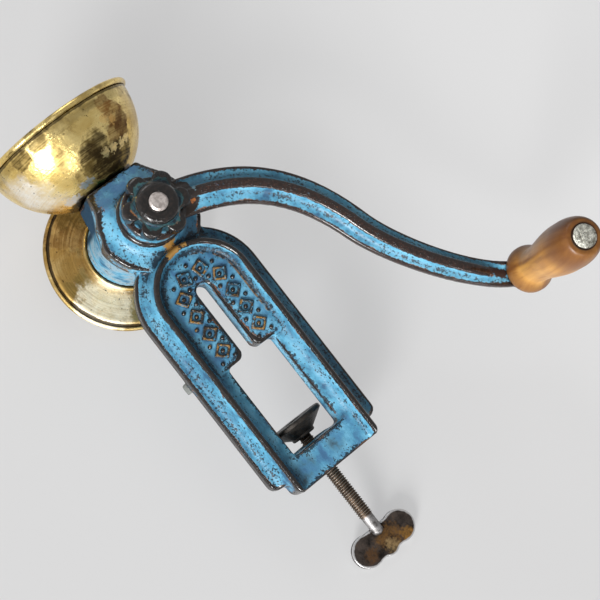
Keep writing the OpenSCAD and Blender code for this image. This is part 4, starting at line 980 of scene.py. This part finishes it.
def makeTable(look):
    high, low = Vector(look["high"]), Vector(look["low"])
    middle = (high + low) / 2
    slope = (high - low).normalized()
    facing = Vector((1, 0, 0)).cross(slope)
    turn = Matrix((Vector((1, 0, 0)), slope, facing)).transposed().to_4x4()
    bm = bmesh.new()
    bmesh.ops.create_grid(bm, x_segments=2, y_segments=2, size=look["radius"],
        matrix=Matrix.Translation(middle) @ turn)
    top = placeObject("table_top", bm)
    material, tree, shader, coord = startMaterial("table_white")
    shader.inputs["Base Color"].default_value = (*look["albedo"], 1.0)
    shader.inputs["Roughness"].default_value = look["roughness"]
    shader.inputs["Specular IOR Level"].default_value = look["mirror"]
    # Painted light: the table shows brighter towards the right
    right = band(tree, split(tree, coord)["X"], *look["rightX"])
    shown = blendColor(tree, right, look["shown"], look["shownRight"])
    pale = addNode(tree, "ShaderNodeEmission", None, {"Color": shown, "Strength": 1.0}).outputs[0]
    share = times(tree, seenRays(tree), look["even"])
    lit = addNode(tree, "ShaderNodeMixShader", None, {0: share, 1: shader.outputs[0], 2: pale}).outputs[0]
    clear = addNode(tree, "ShaderNodeBsdfTransparent").outputs[0]
    behind = addNode(tree, "ShaderNodeNewGeometry").outputs["Backfacing"]
    far = near(tree, coord, tuple(middle), look["fadeFrom"], look["fadeTo"])
    gone = most(tree, behind, minus(tree, 1.0, far))
    mix = addNode(tree, "ShaderNodeMixShader", None, {0: gone, 1: lit, 2: clear})
    tree.links.new(mix.outputs[0], tree.nodes["Material Output"].inputs["Surface"])
    top.data.materials.append(material)


makeTable(table)

# Light: two window panes that show in the bowl, and a weak fill
lampAim = Vector((0.03, 0.0, 0.03))
lampAcross = Vector((0.748, -0.250, -0.614))
lamps = [dict(name="window_key", place=(-4.37, -3.03, -2.09), size=(1.6, 2.8), power=460.0),
    dict(name="window_second", place=(-1.87, -3.05, -4.46), size=(0.5, 1.1), power=45.0),
    dict(name="room_fill", place=(0.30, -0.75, 1.27), size=(0.6, 0.6), power=3.4)]


def makeLamp(look):
    data = bpy.data.lights.new(look["name"], "AREA")
    data.shape = "RECTANGLE"
    data.size, data.size_y = look["size"]
    data.energy = look["power"]
    lamp = bpy.data.objects.new(look["name"], data)
    bpy.context.scene.collection.objects.link(lamp)
    away = (Vector(look["place"]) - lampAim).normalized()
    upright = away.cross(lampAcross).normalized()
    turn = Matrix((upright.cross(away), upright, away)).transposed().to_4x4()
    lamp.matrix_world = Matrix.Translation(look["place"]) @ turn


for lampLook in lamps:
    makeLamp(lampLook)

room = dict(bright=(1.0, 1.0, 1.0), dim=(0.05, 0.05, 0.05), strength=0.36, towards=(-0.75, -0.55, -0.3),
    shownBright=(0.80, 0.80, 0.805), shownDim=(0.46, 0.46, 0.46), shownTowards=(-0.75, 0.62, 0.0),
    spread=(-0.7, 0.95))


def makeRoom(look):
    world = bpy.data.worlds.new("pale_room")
    bpy.context.scene.world = world
    world.use_nodes = True
    tree = world.node_tree
    background = tree.nodes["Background"]
    way = addNode(tree, "ShaderNodeTexCoord").outputs["Generated"]

    def facing(towards):
        dot = vectors(tree, "DOT_PRODUCT", way, tuple(Vector(towards).normalized()))["Value"]
        return band(tree, dot, *look["spread"])

    color = blendColor(tree, facing(look["towards"]), look["dim"], look["bright"])
    tree.links.new(color, background.inputs["Color"])
    background.inputs["Strength"].default_value = look["strength"]
    pale = blendColor(tree, facing(look["shownTowards"]), look["shownDim"], look["shownBright"])
    shown = addNode(tree, "ShaderNodeBackground", None, {"Color": pale, "Strength": 1.0})
    mix = addNode(tree, "ShaderNodeMixShader", None, {
        0: seenRays(tree), 1: background.outputs[0], 2: shown.outputs[0]})
    tree.links.new(mix.outputs[0], tree.nodes["World Output"].inputs["Surface"])


makeRoom(room)

# Camera, rolled as the object lies
view = dict(azimuth=-18.8, elevation=-0.4, roll=37.9, distance=0.94, aim=(0.03613, -0.0178, 0.0036), lens=108.0,
    sensor=36.0, clip=(0.01, 20.0))


def makeCamera(look):
    a, e, r = (math.radians(look[k]) for k in ("azimuth", "elevation", "roll"))
    back = Vector((math.sin(a) * math.cos(e), -math.cos(a) * math.cos(e), math.sin(e)))
    level = (-back).cross(Vector((0, 0, 1))).normalized()
    upright = level.cross(-back)
    right = math.cos(r) * level - math.sin(r) * upright
    up = math.sin(r) * level + math.cos(r) * upright
    data = bpy.data.cameras.new("photo_view")
    data.sensor_width = look["sensor"]
    data.lens = look["lens"]
    data.clip_start, data.clip_end = look["clip"]
    camera = bpy.data.objects.new("photo_view", data)
    bpy.context.scene.collection.objects.link(camera)
    turn = Matrix((right, up, back)).transposed().to_4x4()
    camera.matrix_world = Matrix.Translation(Vector(look["aim"]) + back * look["distance"]) @ turn
    bpy.context.scene.camera = camera


makeCamera(view)
bpy.context.scene.view_settings.view_transform = "Standard"
print("table, lamps and camera set")
